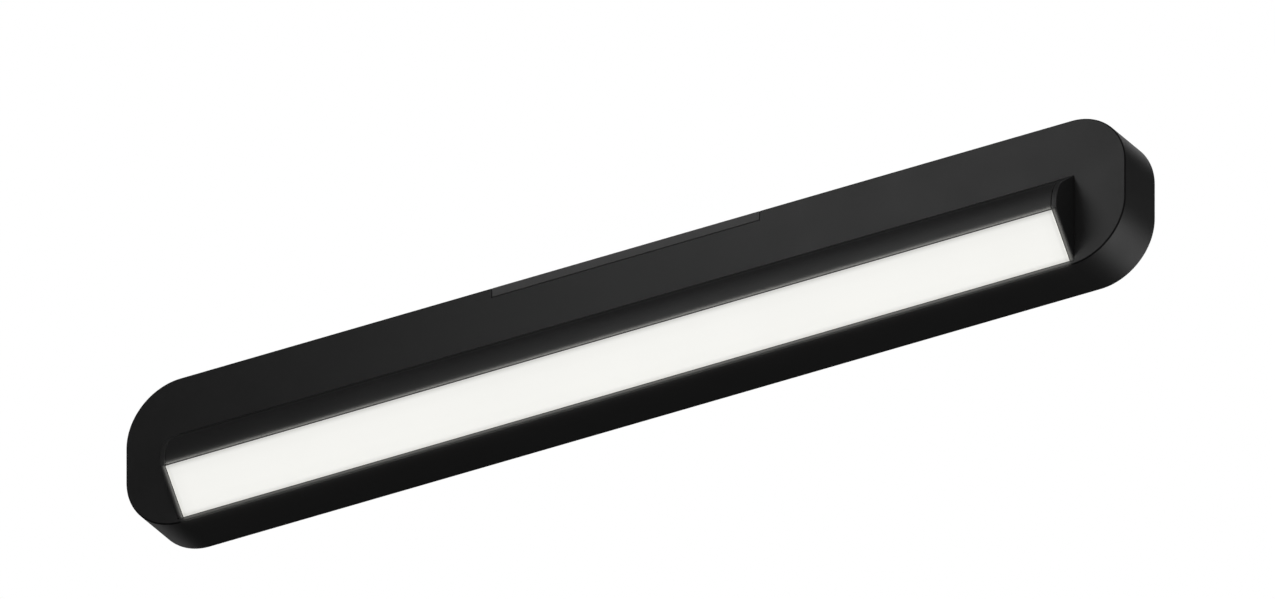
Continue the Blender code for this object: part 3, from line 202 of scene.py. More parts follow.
# Lamps round the luminaire: place, target, width and height, power
SOFTBOXES = {
    "front_light": ((-0.125, -0.62, 0.395), (0.20, 0, 0), (0.45, 0.45), 0.87),
    "rim_light": ((0.72, 0.62, -0.32), (0.28, 0, -0.03), (0.7, 0.7), 2.1),
    "side_light": ((1.25, -0.45, 0.10), (0.27, 0, 0), (0.9, 0.9), 1.0),
    "left_light": ((-0.98, -1.96, -0.24), (0, 0, 0), (0.35, 0.35), 0.9),
    "fill_light": ((0.9, -1.5, -1.0), (0, 0, 0), (1.0, 1.0), 2.6),
    "face_light": ((0.3, -2.2, 0.45), (0, 0, 0), (0.9, 0.9), 3.0),
    "top_light": ((0.7, 0.3, 1.5), (0.1, 0, 0), (1.0, 0.8), 4.0),
    "back_light": ((0.12, 1.1, 1.1), (0.1, 0, 0), (0.5, 0.5), 0.63),
    "low_back_light": ((-1.3, 1.0, 0.0), (-0.1, 0, 0), (0.7, 0.7), 0.55),
}

# The camera stands below the luminaire and to its right
CAMERA_AZIMUTH = math.radians(30.63)
CAMERA_ELEVATION = math.radians(-29.22)
CAMERA_DISTANCE = 2.0
VIEW_WIDTH = 0.6587
AIM_RIGHT = 0.00615
AIM_UP = 0.0113

# The floor lies far enough down that views from below still see the luminaire
FLOOR_Z = -1.8
FLOOR_RADIUS = 15
FLOOR_GLOW = 0.6

# Straight pieces in a round stretch, or in a full turn
CORNER_STEPS = 32
BAR_STEPS = 48
BLEND_STEPS = 24
SLOT_STEPS = 16
HOOK_STEPS = 10
EDGE_STEPS = 6
TURN_STEPS = 40
SPRING_STEPS = 24

# Points nearer than this are one point
SAME_POINT = 1e-7

# Turns that lay a flat outline's own x, y and thickness along the object's axes
SECTION_ALONG_X = Matrix(((0, 0, 1, 0), (1, 0, 0, 0), (0, 1, 0, 0), (0, 0, 0, 1)))
FACING_FRONT = Matrix.Rotation(math.radians(90), 4, "X")


# ------------------------------------------------------------------ outlines


def arc(centre, radius, start, end, steps):
    points = []
    for step in range(steps + 1):
        angle = math.radians(start + (end - start) * step / steps)
        points.append((centre[0] + radius * math.cos(angle), centre[1] + radius * math.sin(angle)))
    return points


def rounded_rectangle(width, height, radius):
    across = width / 2 - radius
    up = height / 2 - radius
    corners = [(across, up, 0), (-across, up, 90), (-across, -up, 180), (across, -up, 270)]
    points = []
    for x, y, start in corners:
        points += arc((x, y), radius, start, start + 90, CORNER_STEPS)
    return points


def half_chord(radius, distance):
    return math.sqrt(radius**2 - distance**2)


def bar_arc(distance, start, end, steps=BAR_STEPS):
    """Points of the bar's section, in y and z, angle 0 being straight out through the diffuser."""
    return [(-y, z) for y, z in arc((0, 0), distance, start, end, steps)]


def bar_top_wall(start):
    """The outside of the bar's upper wall, from a start angle to its top edge.

    A flat lies along its upper flank. The round front runs into the flat through a smaller radius.
    """
    turn = math.degrees(math.acos((FLAT_FROM_AXIS - FLAT_BLEND) / (BAR_RADIUS - FLAT_BLEND)))
    blend_start = FLAT_ANGLE - turn
    centre_y, centre_z = bar_arc(BAR_RADIUS - FLAT_BLEND, blend_start, blend_start, 1)[0]
    blend = bar_arc(FLAT_BLEND, blend_start, FLAT_ANGLE, BLEND_STEPS)
    flat_end = FLAT_ANGLE + math.degrees(math.acos(FLAT_FROM_AXIS / BAR_RADIUS))
    points = bar_arc(BAR_RADIUS, start, blend_start, BLEND_STEPS)
    points += [(centre_y + y, centre_z + z) for y, z in blend[1:]]
    points += bar_arc(BAR_RADIUS, flat_end, BAR_TOP_ANGLE, BLEND_STEPS)
    return points


# ------------------------------------------------------------------ meshes


def evaluated(obj):
    """The object's mesh with its modifiers applied. The object itself is removed."""
    bpy.context.view_layer.update()
    graph = bpy.context.evaluated_depsgraph_get()
    mesh = bpy.data.meshes.new_from_object(obj.evaluated_get(graph), depsgraph=graph)
    bpy.data.objects.remove(obj, do_unlink=True)
    return mesh


def linked(name, data):
    obj = bpy.data.objects.new(name, data)
    bpy.context.scene.collection.objects.link(obj)
    return obj


def prism(name, outline, thickness, place):
    """A solid of that thickness over a flat outline, moved to its place."""
    mesh = bpy.data.meshes.new(name)
    shape = bmesh.new()
    below = [shape.verts.new((x, y, -thickness / 2)) for x, y in outline]
    above = [shape.verts.new((x, y, thickness / 2)) for x, y in outline]
    shape.faces.new(reversed(below))
    shape.faces.new(above)
    for i in range(len(outline)):
        j = (i + 1) % len(outline)
        shape.faces.new((below[i], below[j], above[j], above[i]))
    bmesh.ops.remove_doubles(shape, verts=shape.verts, dist=SAME_POINT)
    bmesh.ops.transform(shape, matrix=place, verts=shape.verts)
    bmesh.ops.recalc_face_normals(shape, faces=shape.faces)
    shape.to_mesh(mesh)
    shape.free()
    return linked(name, mesh)


def block(name, low, high):
    low, high = Vector(low), Vector(high)
    size = high - low
    outline = [(-size.x / 2, -size.y / 2), (size.x / 2, -size.y / 2)]
    outline += [(size.x / 2, size.y / 2), (-size.x / 2, size.y / 2)]
    return prism(name, outline, size.z, Matrix.Translation((low + high) / 2))


def turned(name, profile, place, steps=TURN_STEPS):
    """A profile of (radius, height) points turned about its own z, then moved to its place."""
    mesh = bpy.data.meshes.new(name)
    shape = bmesh.new()
    verts = [shape.verts.new((radius, 0, height)) for radius, height in profile]
    edges = [shape.edges.new((a, b)) for a, b in zip(verts, verts[1:])]
    bmesh.ops.spin(
        shape,
        geom=[*verts, *edges],
        cent=(0, 0, 0),
        axis=(0, 0, 1),
        angle=math.tau,
        steps=steps,
        use_merge=True,
        use_duplicate=False,
    )
    bmesh.ops.remove_doubles(shape, verts=shape.verts, dist=SAME_POINT)
    bmesh.ops.transform(shape, matrix=place, verts=shape.verts)
    bmesh.ops.recalc_face_normals(shape, faces=shape.faces)
    shape.to_mesh(mesh)
    shape.free()
    return linked(name, mesh)


def combine(obj, operation, *others):
    """Applies an exact boolean of obj with each of the others, which are removed."""
    for other in others:
        boolean = obj.modifiers.new("boolean", "BOOLEAN")
        boolean.operation = operation
        boolean.solver = "EXACT"
        boolean.object = other
    name = obj.name
    mesh = evaluated(obj)
    for other in others:
        bpy.data.objects.remove(other, do_unlink=True)
    return linked(name, mesh)


def soften(obj, width, segments=3, angle=35):
    """Rounds the sharp edges and shades the rest as flat faces and true curves."""
    bevel = obj.modifiers.new("edges", "BEVEL")
    bevel.width = width
    bevel.segments = segments
    bevel.limit_method = "ANGLE"
    bevel.angle_limit = math.radians(angle)
    name = obj.name
    return shade(linked(name, evaluated(obj)))


def shade(obj, angle=50):
    obj.data.shade_smooth()
    obj.data.set_sharp_from_angle(angle=math.radians(angle))
    normals = obj.modifiers.new("normals", "WEIGHTED_NORMAL")
    normals.keep_sharp = True
    normals.weight = 80
    return obj


def dress(obj, material, slot, body, *stood_for):
    """Gives a new piece its material and its body, and hides the CAD nodes that it stands for."""
    obj.data.materials.clear()
    obj.data.materials.append(material)
    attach(obj, body)
    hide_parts(*stood_for)


# ------------------------------------------------------------------ materials


class Tree:
    """A material's nodes, with short calls for the few kinds used here."""

    def __init__(self, name):
        self.material = bpy.data.materials.new(name)
        self.material.use_nodes = True
        self.nodes = self.material.node_tree.nodes
        self.links = self.material.node_tree.links
        self.shader = self.nodes["Principled BSDF"]
        self.place = self.nodes.new("ShaderNodeTexCoord").outputs["Object"]

    def link(self, source, target):
        self.links.new(source, target)

    def stretched(self, scale):
        mapping = self.nodes.new("ShaderNodeMapping")
        mapping.inputs["Scale"].default_value = scale
        self.link(self.place, mapping.inputs["Vector"])
        return mapping.outputs["Vector"]

    def noise(self, size, detail=3.0, place=None):
        """Noise whose features are about that size, in metres."""
        node = self.nodes.new("ShaderNodeTexNoise")
        node.inputs["Scale"].default_value = 1 / size
        node.inputs["Detail"].default_value = detail
        node.inputs["Roughness"].default_value = 0.55
        self.link(place or self.place, node.inputs["Vector"])
        return node.outputs["Fac"]

    def cells(self, size):
        """Cells about that size, in metres, each with a colour of its own."""
        node = self.nodes.new("ShaderNodeTexVoronoi")
        node.inputs["Scale"].default_value = 1 / size
        self.link(self.place, node.inputs["Vector"])
        return node.outputs["Color"]

    def range(self, value, low, high, out_low, out_high, smooth=False):
        node = self.nodes.new("ShaderNodeMapRange")
        if smooth:
            node.interpolation_type = "SMOOTHSTEP"
        node.inputs["From Min"].default_value = low
        node.inputs["From Max"].default_value = high
        node.inputs["To Min"].default_value = out_low
        node.inputs["To Max"].default_value = out_high
        self.link(value, node.inputs["Value"])
        return node.outputs["Result"]

    def math(self, operation, first, second=None):
        node = self.nodes.new("ShaderNodeMath")
        node.operation = operation
        for number, value in enumerate((first, second)):
            if isinstance(value, (int, float)):
                node.inputs[number].default_value = value
            elif value is not None:
                self.link(value, node.inputs[number])
        return node.outputs["Value"]

    def colours(self, factor, first, second):
        node = self.nodes.new("ShaderNodeMix")
        node.data_type = "RGBA"
        self.link(factor, node.inputs[0])
        node.inputs[6].default_value = (*first, 1)
        node.inputs[7].default_value = (*second, 1)
        return node.outputs[2]

    def bump(self, height, depth, below=None):
        node = self.nodes.new("ShaderNodeBump")
        node.inputs["Strength"].default_value = 1.0
        node.inputs["Distance"].default_value = depth
        self.link(height, node.inputs["Height"])
        if below:
            self.link(below, node.inputs["Normal"])
        return node.outputs["Normal"]

    def set(self, **values):
        for name, value in values.items():
            socket = self.shader.inputs[name.replace("_", " ")]
            if isinstance(value, bpy.types.NodeSocket):
                self.link(value, socket)
            else:
                socket.default_value = value


def finish_material(name, dark, light, rough, grain, depth, blotch=0.03, metallic=0.0):
    """A moulded, coated or drawn surface: blotchy tone, uneven gloss and a fine grain."""
    tree = Tree(name)
    patches = tree.noise(blotch, 4.0)
    speckle = tree.noise(grain, 2.0)
    tone = tree.colours(tree.range(patches, 0.35, 0.65, 0.0, 1.0), dark, light)
    gloss = tree.range(patches, 0.3, 0.7, rough[0], rough[1])
    wavy = tree.bump(tree.noise(grain * 7, 2.0), depth * 1.5)
    tree.set(Base_Color=tone, Roughness=gloss, Metallic=metallic)
    tree.set(Normal=tree.bump(speckle, depth, wavy))
    return tree


def powder_coat():
    dark, light = (0.0175, 0.0175, 0.0176), (0.0205, 0.0205, 0.0206)
    return finish_material("powder_coat", dark, light, (0.44, 0.50), 0.0004, 0.000006).material


def painted_edge_shade():
    """Painted shade: a darker, duller copy of the coat for the round of sharp front edges,
    standing in for the dark line that shade draws there.
    """
    dark, light = (0.0035, 0.0035, 0.0037), (0.0050, 0.0050, 0.0052)
    tree = finish_material("painted_shade_on_edges", dark, light, (0.60, 0.70), 0.0004, 0.000004)
    tree.set(Specular_IOR_Level=0.25)
    return tree.material


def graphite_plastic():
    dark, light = (0.118, 0.118, 0.118), (0.128, 0.128, 0.128)
    tree = finish_material("moulded_graphite", dark, light, (0.50, 0.58), 0.0005, 0.000008)
    tree.set(Specular_IOR_Level=0.3)
    return tree.material


def bar_coat():
    """Coated extrusion, with faint drawing lines along the bar."""
    dark, light = (0.0150, 0.0150, 0.0152), (0.0180, 0.0180, 0.0182)
    tree = finish_material("coated_extrusion", dark, light, (0.47, 0.55), 0.0004, 0.000005)
    lines = tree.noise(0.0006, 2.0, place=tree.stretched((0.01, 1, 1)))
    tree.set(Normal=tree.bump(lines, 0.000004))
    return tree.material


def black_plastic():
    dark, light = (0.0230, 0.0230, 0.0232), (0.0270, 0.0270, 0.0272)
    return finish_material("moulded_black", dark, light, (0.46, 0.54), 0.0005, 0.000010).material


def white_plastic():
    dark, light = (0.70, 0.70, 0.68), (0.78, 0.78, 0.76)
    return finish_material("moulded_white", dark, light, (0.34, 0.44), 0.0006, 0.000006).material


def rubber():
    dark, light = (0.013, 0.013, 0.013), (0.020, 0.020, 0.020)
    tree = finish_material(
        "moulded_rubber", dark, light, (0.72, 0.86), 0.0007, 0.00002, blotch=0.008
    )
    return tree.material


def zinc_plate():
    """Zinc-plated steel: large faint crystals, a patchy gloss and a fine rolled grain."""
    tree = Tree("zinc_plate")
    crystals = tree.nodes.new("ShaderNodeSeparateColor")
    tree.link(tree.cells(0.006), crystals.inputs["Color"])
    facet = crystals.outputs["Red"]
    tone = tree.colours(facet, (0.53, 0.54, 0.55), (0.61, 0.62, 0.62))
    patches = tree.noise(0.02, 3.0)
    rolled = tree.noise(0.0004, 2.0, place=tree.stretched((0.04, 1, 1)))
    facet_gloss = tree.range(facet, 0, 1, 0.35, 0.43)
    gloss = tree.math("ADD", facet_gloss, tree.range(patches, 0.3, 0.7, -0.03, 0.05))
    tree.set(Base_Color=tone, Roughness=gloss, Metallic=1.0, Normal=tree.bump(rolled, 0.000004))
    return tree.material


def spring_steel():
    dark, light = (0.42, 0.42, 0.43), (0.55, 0.55, 0.56)
    tree = finish_material(
        "spring_steel", dark, light, (0.22, 0.34), 0.0002, 0.000003, blotch=0.004, metallic=1.0
    )
    return tree.material


def circuit_board(name, mask, copper):
    """Solder mask over tracks, which stand up a little and show lighter."""
    tree = Tree(name)
    tracks = tree.nodes.new("ShaderNodeTexBrick")
    tracks.inputs["Scale"].default_value = 160
    tracks.inputs["Mortar Size"].default_value = 0.03
    tree.link(tree.place, tracks.inputs["Vector"])
    patches = tree.noise(0.01)
    line = tracks.outputs["Fac"]
    tone = tree.colours(line, mask, copper)
    tree.set(Base_Color=tone, Roughness=tree.range(patches, 0.3, 0.7, 0.30, 0.42))
    tree.set(Normal=tree.bump(line, 0.00003, tree.bump(patches, 0.00001)))
    return tree.material


def insulation(name, main, stripe=None):
    """Extruded sheath: slightly uneven gloss, with an optional second colour in bands."""
    tree = Tree(name)
    patches = tree.noise(0.004)
    gloss = tree.range(patches, 0.3, 0.7, 0.38, 0.52)
    if stripe:
        bands = tree.nodes.new("ShaderNodeTexWave")
        bands.bands_direction = "DIAGONAL"
        bands.inputs["Scale"].default_value = 60
        tree.link(tree.place, bands.inputs["Vector"])
        factor = tree.range(bands.outputs["Fac"], 0.45, 0.55, 0, 1)
    else:
        stripe = tuple(channel * 1.35 for channel in main)
        factor = tree.range(patches, 0.35, 0.65, 0, 1)
    tree.set(Base_Color=tree.colours(factor, main, stripe), Roughness=gloss)
    tree.set(Normal=tree.bump(tree.noise(0.0008), 0.00001))
    return tree.material


def lit_opal(half_length, half_width):
    """Opal sheet lit from behind: even over its middle and dimmer towards its edges.

    It dims a little over a broad border and more over a narrow one.
    """
    narrow, broad = 0.0030, 0.0090
    tree = Tree("lit_opal")
    parts = tree.nodes.new("ShaderNodeSeparateXYZ")
    tree.link(tree.place, parts.inputs["Vector"])
    edges = []
    for axis, half in (("X", half_length), ("Z", half_width)):
        reach = tree.math("ABSOLUTE", parts.outputs[axis])
        edges.append(tree.range(reach, half - narrow, half, 1.0, 0.72, smooth=True))
        edges.append(tree.range(reach, half - broad, half - narrow, 1.0, 0.96))
    glow = tree.range(tree.noise(0.05, 2.0), 0.3, 0.7, 0.985, 1.0)
    for edge in edges:
        glow = tree.math("MULTIPLY", glow, edge)
    frost = tree.noise(0.0003, 2.0)
    tree.set(Base_Color=(0.30, 0.30, 0.29, 1), Roughness=tree.range(frost, 0.3, 0.7, 0.50, 0.62))
    tree.set(Emission_Color=(1.0, 0.998, 0.963, 1))
    tree.link(tree.math("MULTIPLY", glow, OPAL_GLOW), tree.shader.inputs["Emission Strength"])
    tree.set(Normal=tree.bump(frost, 0.000004))
    return tree.material


COATED = powder_coat()
# A darker copy of the coat: painted shade for the dark line along sharp front edges
PAINTED_EDGE_SHADE = painted_edge_shade()
GRAPHITE = graphite_plastic()
BAR_COAT = bar_coat()
BLACK_PLASTIC = black_plastic()
WHITE_PLASTIC = white_plastic()
RUBBER = rubber()
ZINC = zinc_plate()
SPRING = spring_steel()
LED_BOARD = circuit_board("led_circuit_board", (0.74, 0.75, 0.73), (0.82, 0.82, 0.80))
SWITCH_BOARD = circuit_board("switch_circuit_board", (0.020, 0.110, 0.050), (0.050, 0.200, 0.090))
SLOT_MATERIALS = {
    "black_coated_metal": COATED,
    "graphite_plastic": GRAPHITE,
    "black_plastic": BLACK_PLASTIC,
    "black_aluminium": BAR_COAT,
    "opal_plastic": WHITE_PLASTIC,
    "white_plastic": WHITE_PLASTIC,
    "circuit_board": LED_BOARD,
    "green_circuit_board": SWITCH_BOARD,
    "zinc_steel": ZINC,
    "spring_steel": SPRING,
    "rubber": RUBBER,
    "brown_insulation": insulation("brown_sheath", (0.14, 0.050, 0.020)),
    "blue_insulation": insulation("blue_sheath", (0.020, 0.100, 0.380)),
    "green_yellow_insulation": insulation("earth_sheath", (0.04, 0.28, 0.04), (0.62, 0.55, 0.03)),
    "red_black_insulation": insulation("twin_sheath", (0.30, 0.015, 0.015), (0.015, 0.015, 0.015)),
}


def dress_cad_nodes():
    """Gives every CAD node the procedural material of its slot in the record."""
    for name, obj in NODES.items():
        for material_slot in obj.material_slots:
            slot = material_slot.material.name.split(".")[0]
            material_slot.material = SLOT_MATERIALS[slot]
        weld = obj.modifiers.new("weld", "WELD")
        weld.merge_threshold = CAD_WELD
        bevel = obj.modifiers.new("edges", "BEVEL")
        bevel.width = CAD_EDGES.get(name, CAD_EDGE)
        bevel.segments = 2
        bevel.limit_method = "ANGLE"
        bevel.angle_limit = math.radians(40)
        shade(obj)


# ------------------------------------------------------------------ housing


def slot_outline():
    """The bar's slot in the front, in y and z: round above to follow the bar, straight below."""
    radius = BAR_RADIUS + SLOT_CLEARANCE
    angle_before = math.degrees(math.acos((SLOT_BEFORE_Y - AXIS.y) / radius))
    angle_behind = math.degrees(math.acos((SLOT_BEHIND_Y - AXIS.y) / radius))
    top = arc((AXIS.y, AXIS.z), radius, angle_behind, angle_before, SLOT_STEPS)
    return [(SLOT_BEFORE_Y, SLOT_BOTTOM_Z), (SLOT_BEHIND_Y, SLOT_BOTTOM_Z), *top]


def is_front_edge(face):
    """Whether a face lies on the round between the front and the walls behind its rim, where the
    painted edge shade goes.
    """
    lowest, highest = RIM_FACING
    return face.center.y < FRONT_Y + EDGE and lowest < -face.normal.y < highest


def near_slot(point):
    """Whether a point of the front lies at the rim of the bar's slot or of the switch's notch."""
    in_slot = abs(point.x) < DIFFUSER_X and point.z < SLOT_RIM_TOP_Z
    notch_bottom_z = TOP_Z - SWITCH_HEIGHT - NOTCH_RIM
    in_notch = abs(point.x) < SWITCH_HALF_LENGTH + NOTCH_RIM and point.z > notch_bottom_z
    return in_slot or in_notch


def screw_hole(side):
    """A cutter for a cover screw's countersunk hole in the top wall."""
    low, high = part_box("cover_screw_" + side)
    centre = (low + high) / 2
    rim = (high.x - low.x) / 2 + SCREW_HOLE_SPARE
    bore = rim - SCREW_SEAT_DEPTH
    profile = [
        (0, CUT_MARGIN),
        (rim, CUT_MARGIN),
        (rim, 0),
        (bore, -SCREW_SEAT_DEPTH),
        (bore, -SCREW_HOLE_DEPTH),
        (0, -SCREW_HOLE_DEPTH),
    ]
    return turned("hole_" + side, profile, Matrix.Translation((centre.x, centre.y, TOP_Z)))


def make_housing():
    """The coated cover: a shell open at the back, with the bar's slot and the switch's notch."""
    outline = rounded_rectangle(LENGTH, HEIGHT, CORNER)
    solid_place = Matrix.Translation((0, FRONT_Y + DEPTH / 2, 0)) @ FACING_FRONT
    cover = prism("cover_shell", outline, DEPTH, solid_place)
    cover = soften(cover, EDGE, segments=4)
    cover.modifiers.clear()

    inside = rounded_rectangle(LENGTH - 2 * WALL, HEIGHT - 2 * WALL, CORNER - WALL)
    hollow_place = Matrix.Translation((0, FRONT_Y + WALL + DEPTH / 2, 0)) @ FACING_FRONT
    hollow = prism("hollow", inside, DEPTH, hollow_place)
    slot = prism("slot", slot_outline(), 2 * SLOT_HALF_LENGTH, SECTION_ALONG_X)
    notch_x = SWITCH_HALF_LENGTH + SWITCH_JOINT
    notch_back_y = FRONT_Y + SWITCH_DEPTH + SWITCH_TRAVEL + NOTCH_SPARE
    notch_bottom_z = TOP_Z - SWITCH_HEIGHT - SWITCH_JOINT
    notch = block(
        "notch",
        (-notch_x, FRONT_Y - 2 * CUT_MARGIN, notch_bottom_z),
        (notch_x, notch_back_y, TOP_Z + 2 * CUT_MARGIN),
    )
    holes = [screw_hole(side) for side in ("left", "right")]
    cover = combine(cover, "DIFFERENCE", hollow, slot, notch, *holes)
    cover = soften(cover, CUT_EDGE, segments=2, angle=60)
    dress(cover, COATED, "black_coated_metal", "housing", "housing_cover")
    # The round of the front's rim takes the painted edge shade, a dark line of painted shade,
    # except round the slot and the notch
    cover.data.materials.append(PAINTED_EDGE_SHADE)
    for face in cover.data.polygons:
        if is_front_edge(face) and not near_slot(face.center):
            face.material_index = 1


def screw_profile(radius, length):
    """A countersunk head, a short plain neck and a thread of even ridges, as (radius, height)."""
    thread = SCREW_THREAD_RADIUS
    cone = radius - thread
    profile = [
        (0, 0),
        (radius - SCREW_HEAD_CHAMFER, 0),
        (radius, -SCREW_HEAD_CHAMFER),
        (radius, -SCREW_HEAD_BAND),
        (thread, -cone),
    ]
    turns = int((length - cone - SCREW_PLAIN_LENGTH) / SCREW_PITCH)
    for turn in range(turns):
        root = -cone - SCREW_NECK - turn * SCREW_PITCH
        profile += [(thread - SCREW_THREAD_DEPTH, root), (thread, root - SCREW_PITCH / 2)]
    profile += [(thread - SCREW_TIP_CHAMFER, -length), (0, -length)]
    return profile


def cross_recess(radius):
    """The cutters for the cross recess in a screw's head: two arms and a socket between them."""
    reach = radius * RECESS_REACH
    half = RECESS_HALF_WIDTH
    socket_rim = half * 2.1
    socket_depth = RECESS_DEPTH * 1.2
    shoulder_depth = RECESS_DEPTH * 1.1
    socket = [
        (0, -socket_depth),
        (half, -shoulder_depth),
        (socket_rim, 0),
        (socket_rim, CUT_MARGIN / 2),
        (0, CUT_MARGIN / 2),
    ]
    return [
        block("arm_x", (-reach, -half, -RECESS_DEPTH), (reach, half, CUT_MARGIN)),
        block("arm_y", (-half, -reach, -RECESS_DEPTH), (half, reach, CUT_MARGIN)),
        turned("socket", socket, Matrix.Identity(4), steps=16),
    ]


def make_cover_screws():
    for side in ("left", "right"):
        node = "cover_screw_" + side
        low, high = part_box(node)
        centre = (low + high) / 2
        radius = (high.x - low.x) / 2
        profile = screw_profile(radius, high.z - low.z)
        screw = turned(side + "_cover_screw", profile, Matrix.Identity(4))
        screw = combine(screw, "DIFFERENCE", *cross_recess(radius))
        turn = Matrix.Rotation(math.radians(SCREW_TURN[side]), 4, "Z")
        screw.data.transform(Matrix.Translation((centre.x, centre.y, high.z)) @ turn)
        screw.data.update()
        dress(shade(screw, 30), ZINC, "zinc_steel", "housing", node)


# ------------------------------------------------------------------ light bar


def profile_outline():
    """The extrusion's section in y and z: two curved walls, a web, and lips with shelves."""
    inner = BAR_RADIUS - BAR_WALL
    face_half = half_chord(BAR_RADIUS, BAR_FACE)
    lip_half = face_half - LIP
    shelf_half = lip_half - SHELF_REACH
    lip_angle = math.degrees(math.asin(face_half / BAR_RADIUS))

    def inner_angle(distance):
        return math.degrees(math.acos(distance / inner))

    def front_hook(sign):
        return [
            (-SHELF_BACK, sign * half_chord(inner, SHELF_BACK)),
            (-SHELF_BACK, sign * shelf_half),
            (-SHELF_FRONT, sign * shelf_half),
            (-SHELF_FRONT, sign * lip_half),
            (-BAR_FACE, sign * lip_half),
        ]

    flat_turn = math.degrees(math.acos((FLAT_FROM_AXIS - BAR_WALL) / inner))
    points = bar_top_wall(lip_angle)
    points += bar_arc(inner, BAR_TOP_ANGLE, FLAT_ANGLE + flat_turn, steps=12)
    points += bar_arc(inner, FLAT_ANGLE - flat_turn, inner_angle(WEB_BACK), steps=2)
    points += bar_arc(inner, -inner_angle(WEB_BACK), BAR_BOTTOM_ANGLE, steps=16)
    points += bar_arc(BAR_RADIUS, BAR_BOTTOM_ANGLE, -lip_angle)
    points += front_hook(-1)[::-1]
    points += bar_arc(inner, -inner_angle(SHELF_BACK), -inner_angle(WEB_FRONT), HOOK_STEPS)[1:]
    points += bar_arc(inner, inner_angle(WEB_FRONT), inner_angle(SHELF_BACK), HOOK_STEPS)[:-1]
    points += front_hook(1)
    return points


def placed_in_bar(obj):
    """Moves the mesh of a piece modelled in the bar's frame to its place."""
    obj.data.transform(BAR_FRAME)
    obj.data.update()
    return obj


def make_bar_profile():
    profile = prism("bar_extrusion", profile_outline(), 2 * PROFILE_X, SECTION_ALONG_X)
    profile = soften(profile, FINE_EDGE, segments=2, angle=50)
    dress(placed_in_bar(profile), BAR_COAT, "black_aluminium", "light_bar", "bar_profile")


def end_cap_outline():
    """The cap's outline, as the profile's outside with a straight back."""
    face_angle = math.degrees(math.acos(BAR_FACE / BAR_RADIUS))
    points = bar_top_wall(face_angle)
    points += [(CAP_BACK, CAP_SHOULDER), (CAP_BACK, -CAP_SHOULDER)]
    points += bar_arc(BAR_RADIUS, BAR_BOTTOM_ANGLE, -face_angle)
    return points


def make_end_caps():
    middle_x = BAR_OUTER_X - CAP_THICKNESS / 2
    for side, sign in (("left", -1), ("right", 1)):
        place = Matrix.Translation((sign * middle_x, 0, 0)) @ SECTION_ALONG_X
        cap = prism("bar_cap_" + side, end_cap_outline(), CAP_THICKNESS, place)
        cap = soften(cap, CAP_EDGE, segments=4, angle=45)
        dress(placed_in_bar(cap), BLACK_PLASTIC, "black_plastic", "light_bar", "end_cap_" + side)


def make_diffuser():
    """The lit panel. It keeps the bar's frame as its own, which its material's borders follow."""
    half_width = half_chord(BAR_RADIUS, BAR_FACE) - LIP - DIFFUSER_GAP
    front = BAR_FACE - DIFFUSER_RECESS
    low = (-DIFFUSER_X, -front, -half_width)
    high = (DIFFUSER_X, -front + DIFFUSER_THICKNESS, half_width)
    panel = soften(block("opal_panel", low, high), DIFFUSER_EDGE, segments=4)
    panel.matrix_world = BAR_FRAME
    opal = lit_opal(DIFFUSER_X, half_width)
    dress(panel, opal, "opal_plastic", "light_bar", "diffuser")


# ------------------------------------------------------------------ switch


def make_switch_strip():
    """The pressed strip, with the flange that holds it in, its plunger and its two guide stems."""
    bar_low, bar_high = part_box("switch_bar")
    bottom_z = TOP_Z - SWITCH_HEIGHT
    back_y = FRONT_Y + SWITCH_DEPTH
    section = [(back_y, TOP_Z), *arc((FRONT_Y + EDGE, TOP_Z - EDGE), EDGE, 90, 180, EDGE_STEPS)]
    section += [(FRONT_Y, bottom_z), (back_y, bottom_z)]
    strip = prism("switch_strip", section, 2 * SWITCH_HALF_LENGTH, SECTION_ALONG_X)
    strip = soften(strip, SWITCH_EDGE, angle=40)
    strip.modifiers.clear()
    flange_back = FLANGE_FRONT_Y + FLANGE_THICKNESS
    flange_top = (bar_high.x, flange_back, FLANGE_TOP_Z)
    flange = block("flange", (bar_low.x, FLANGE_FRONT_Y, bar_low.z), flange_top)
    plunger = block(
        "plunger",
        (-PLUNGER_HALF, flange_back - JOIN, SWITCH_AXIS_Z - PLUNGER_HALF),
        (PLUNGER_HALF, PLUNGER_END_Y, SWITCH_AXIS_Z + PLUNGER_HALF),
    )
    stem_profile = [
        (0, flange_back - JOIN),
        (SEAT_RADIUS, flange_back - JOIN),
        (SEAT_RADIUS, SPRING_SEAT_Y),
        (STEM_RADIUS, SPRING_SEAT_Y),
        (STEM_RADIUS, STEM_END_Y - STEM_CHAMFER),
        (STEM_RADIUS - STEM_CHAMFER, STEM_END_Y),
        (0, STEM_END_Y),
    ]
    along_y = Matrix.Rotation(math.radians(-90), 4, "X")
    stems = []
    for side, sign in (("left", -1), ("right", 1)):
        place = Matrix.Translation((sign * STEM_X, 0, SWITCH_AXIS_Z)) @ along_y
        stems.append(turned("stem_" + side, stem_profile, place, steps=28))
    strip = combine(strip, "UNION", flange, plunger, *stems)
    strip = soften(strip, FINE_EDGE, segments=2, angle=60)
    dress(strip, GRAPHITE, "graphite_plastic", "switch", "switch_bar")
    # The strip's top front edge takes the same painted dark line of shade
    strip.data.materials.append(PAINTED_EDGE_SHADE)
    for face in strip.data.polygons:
        if is_front_edge(face) and face.center.z > TOP_Z - EDGE:
            face.material_index = 1


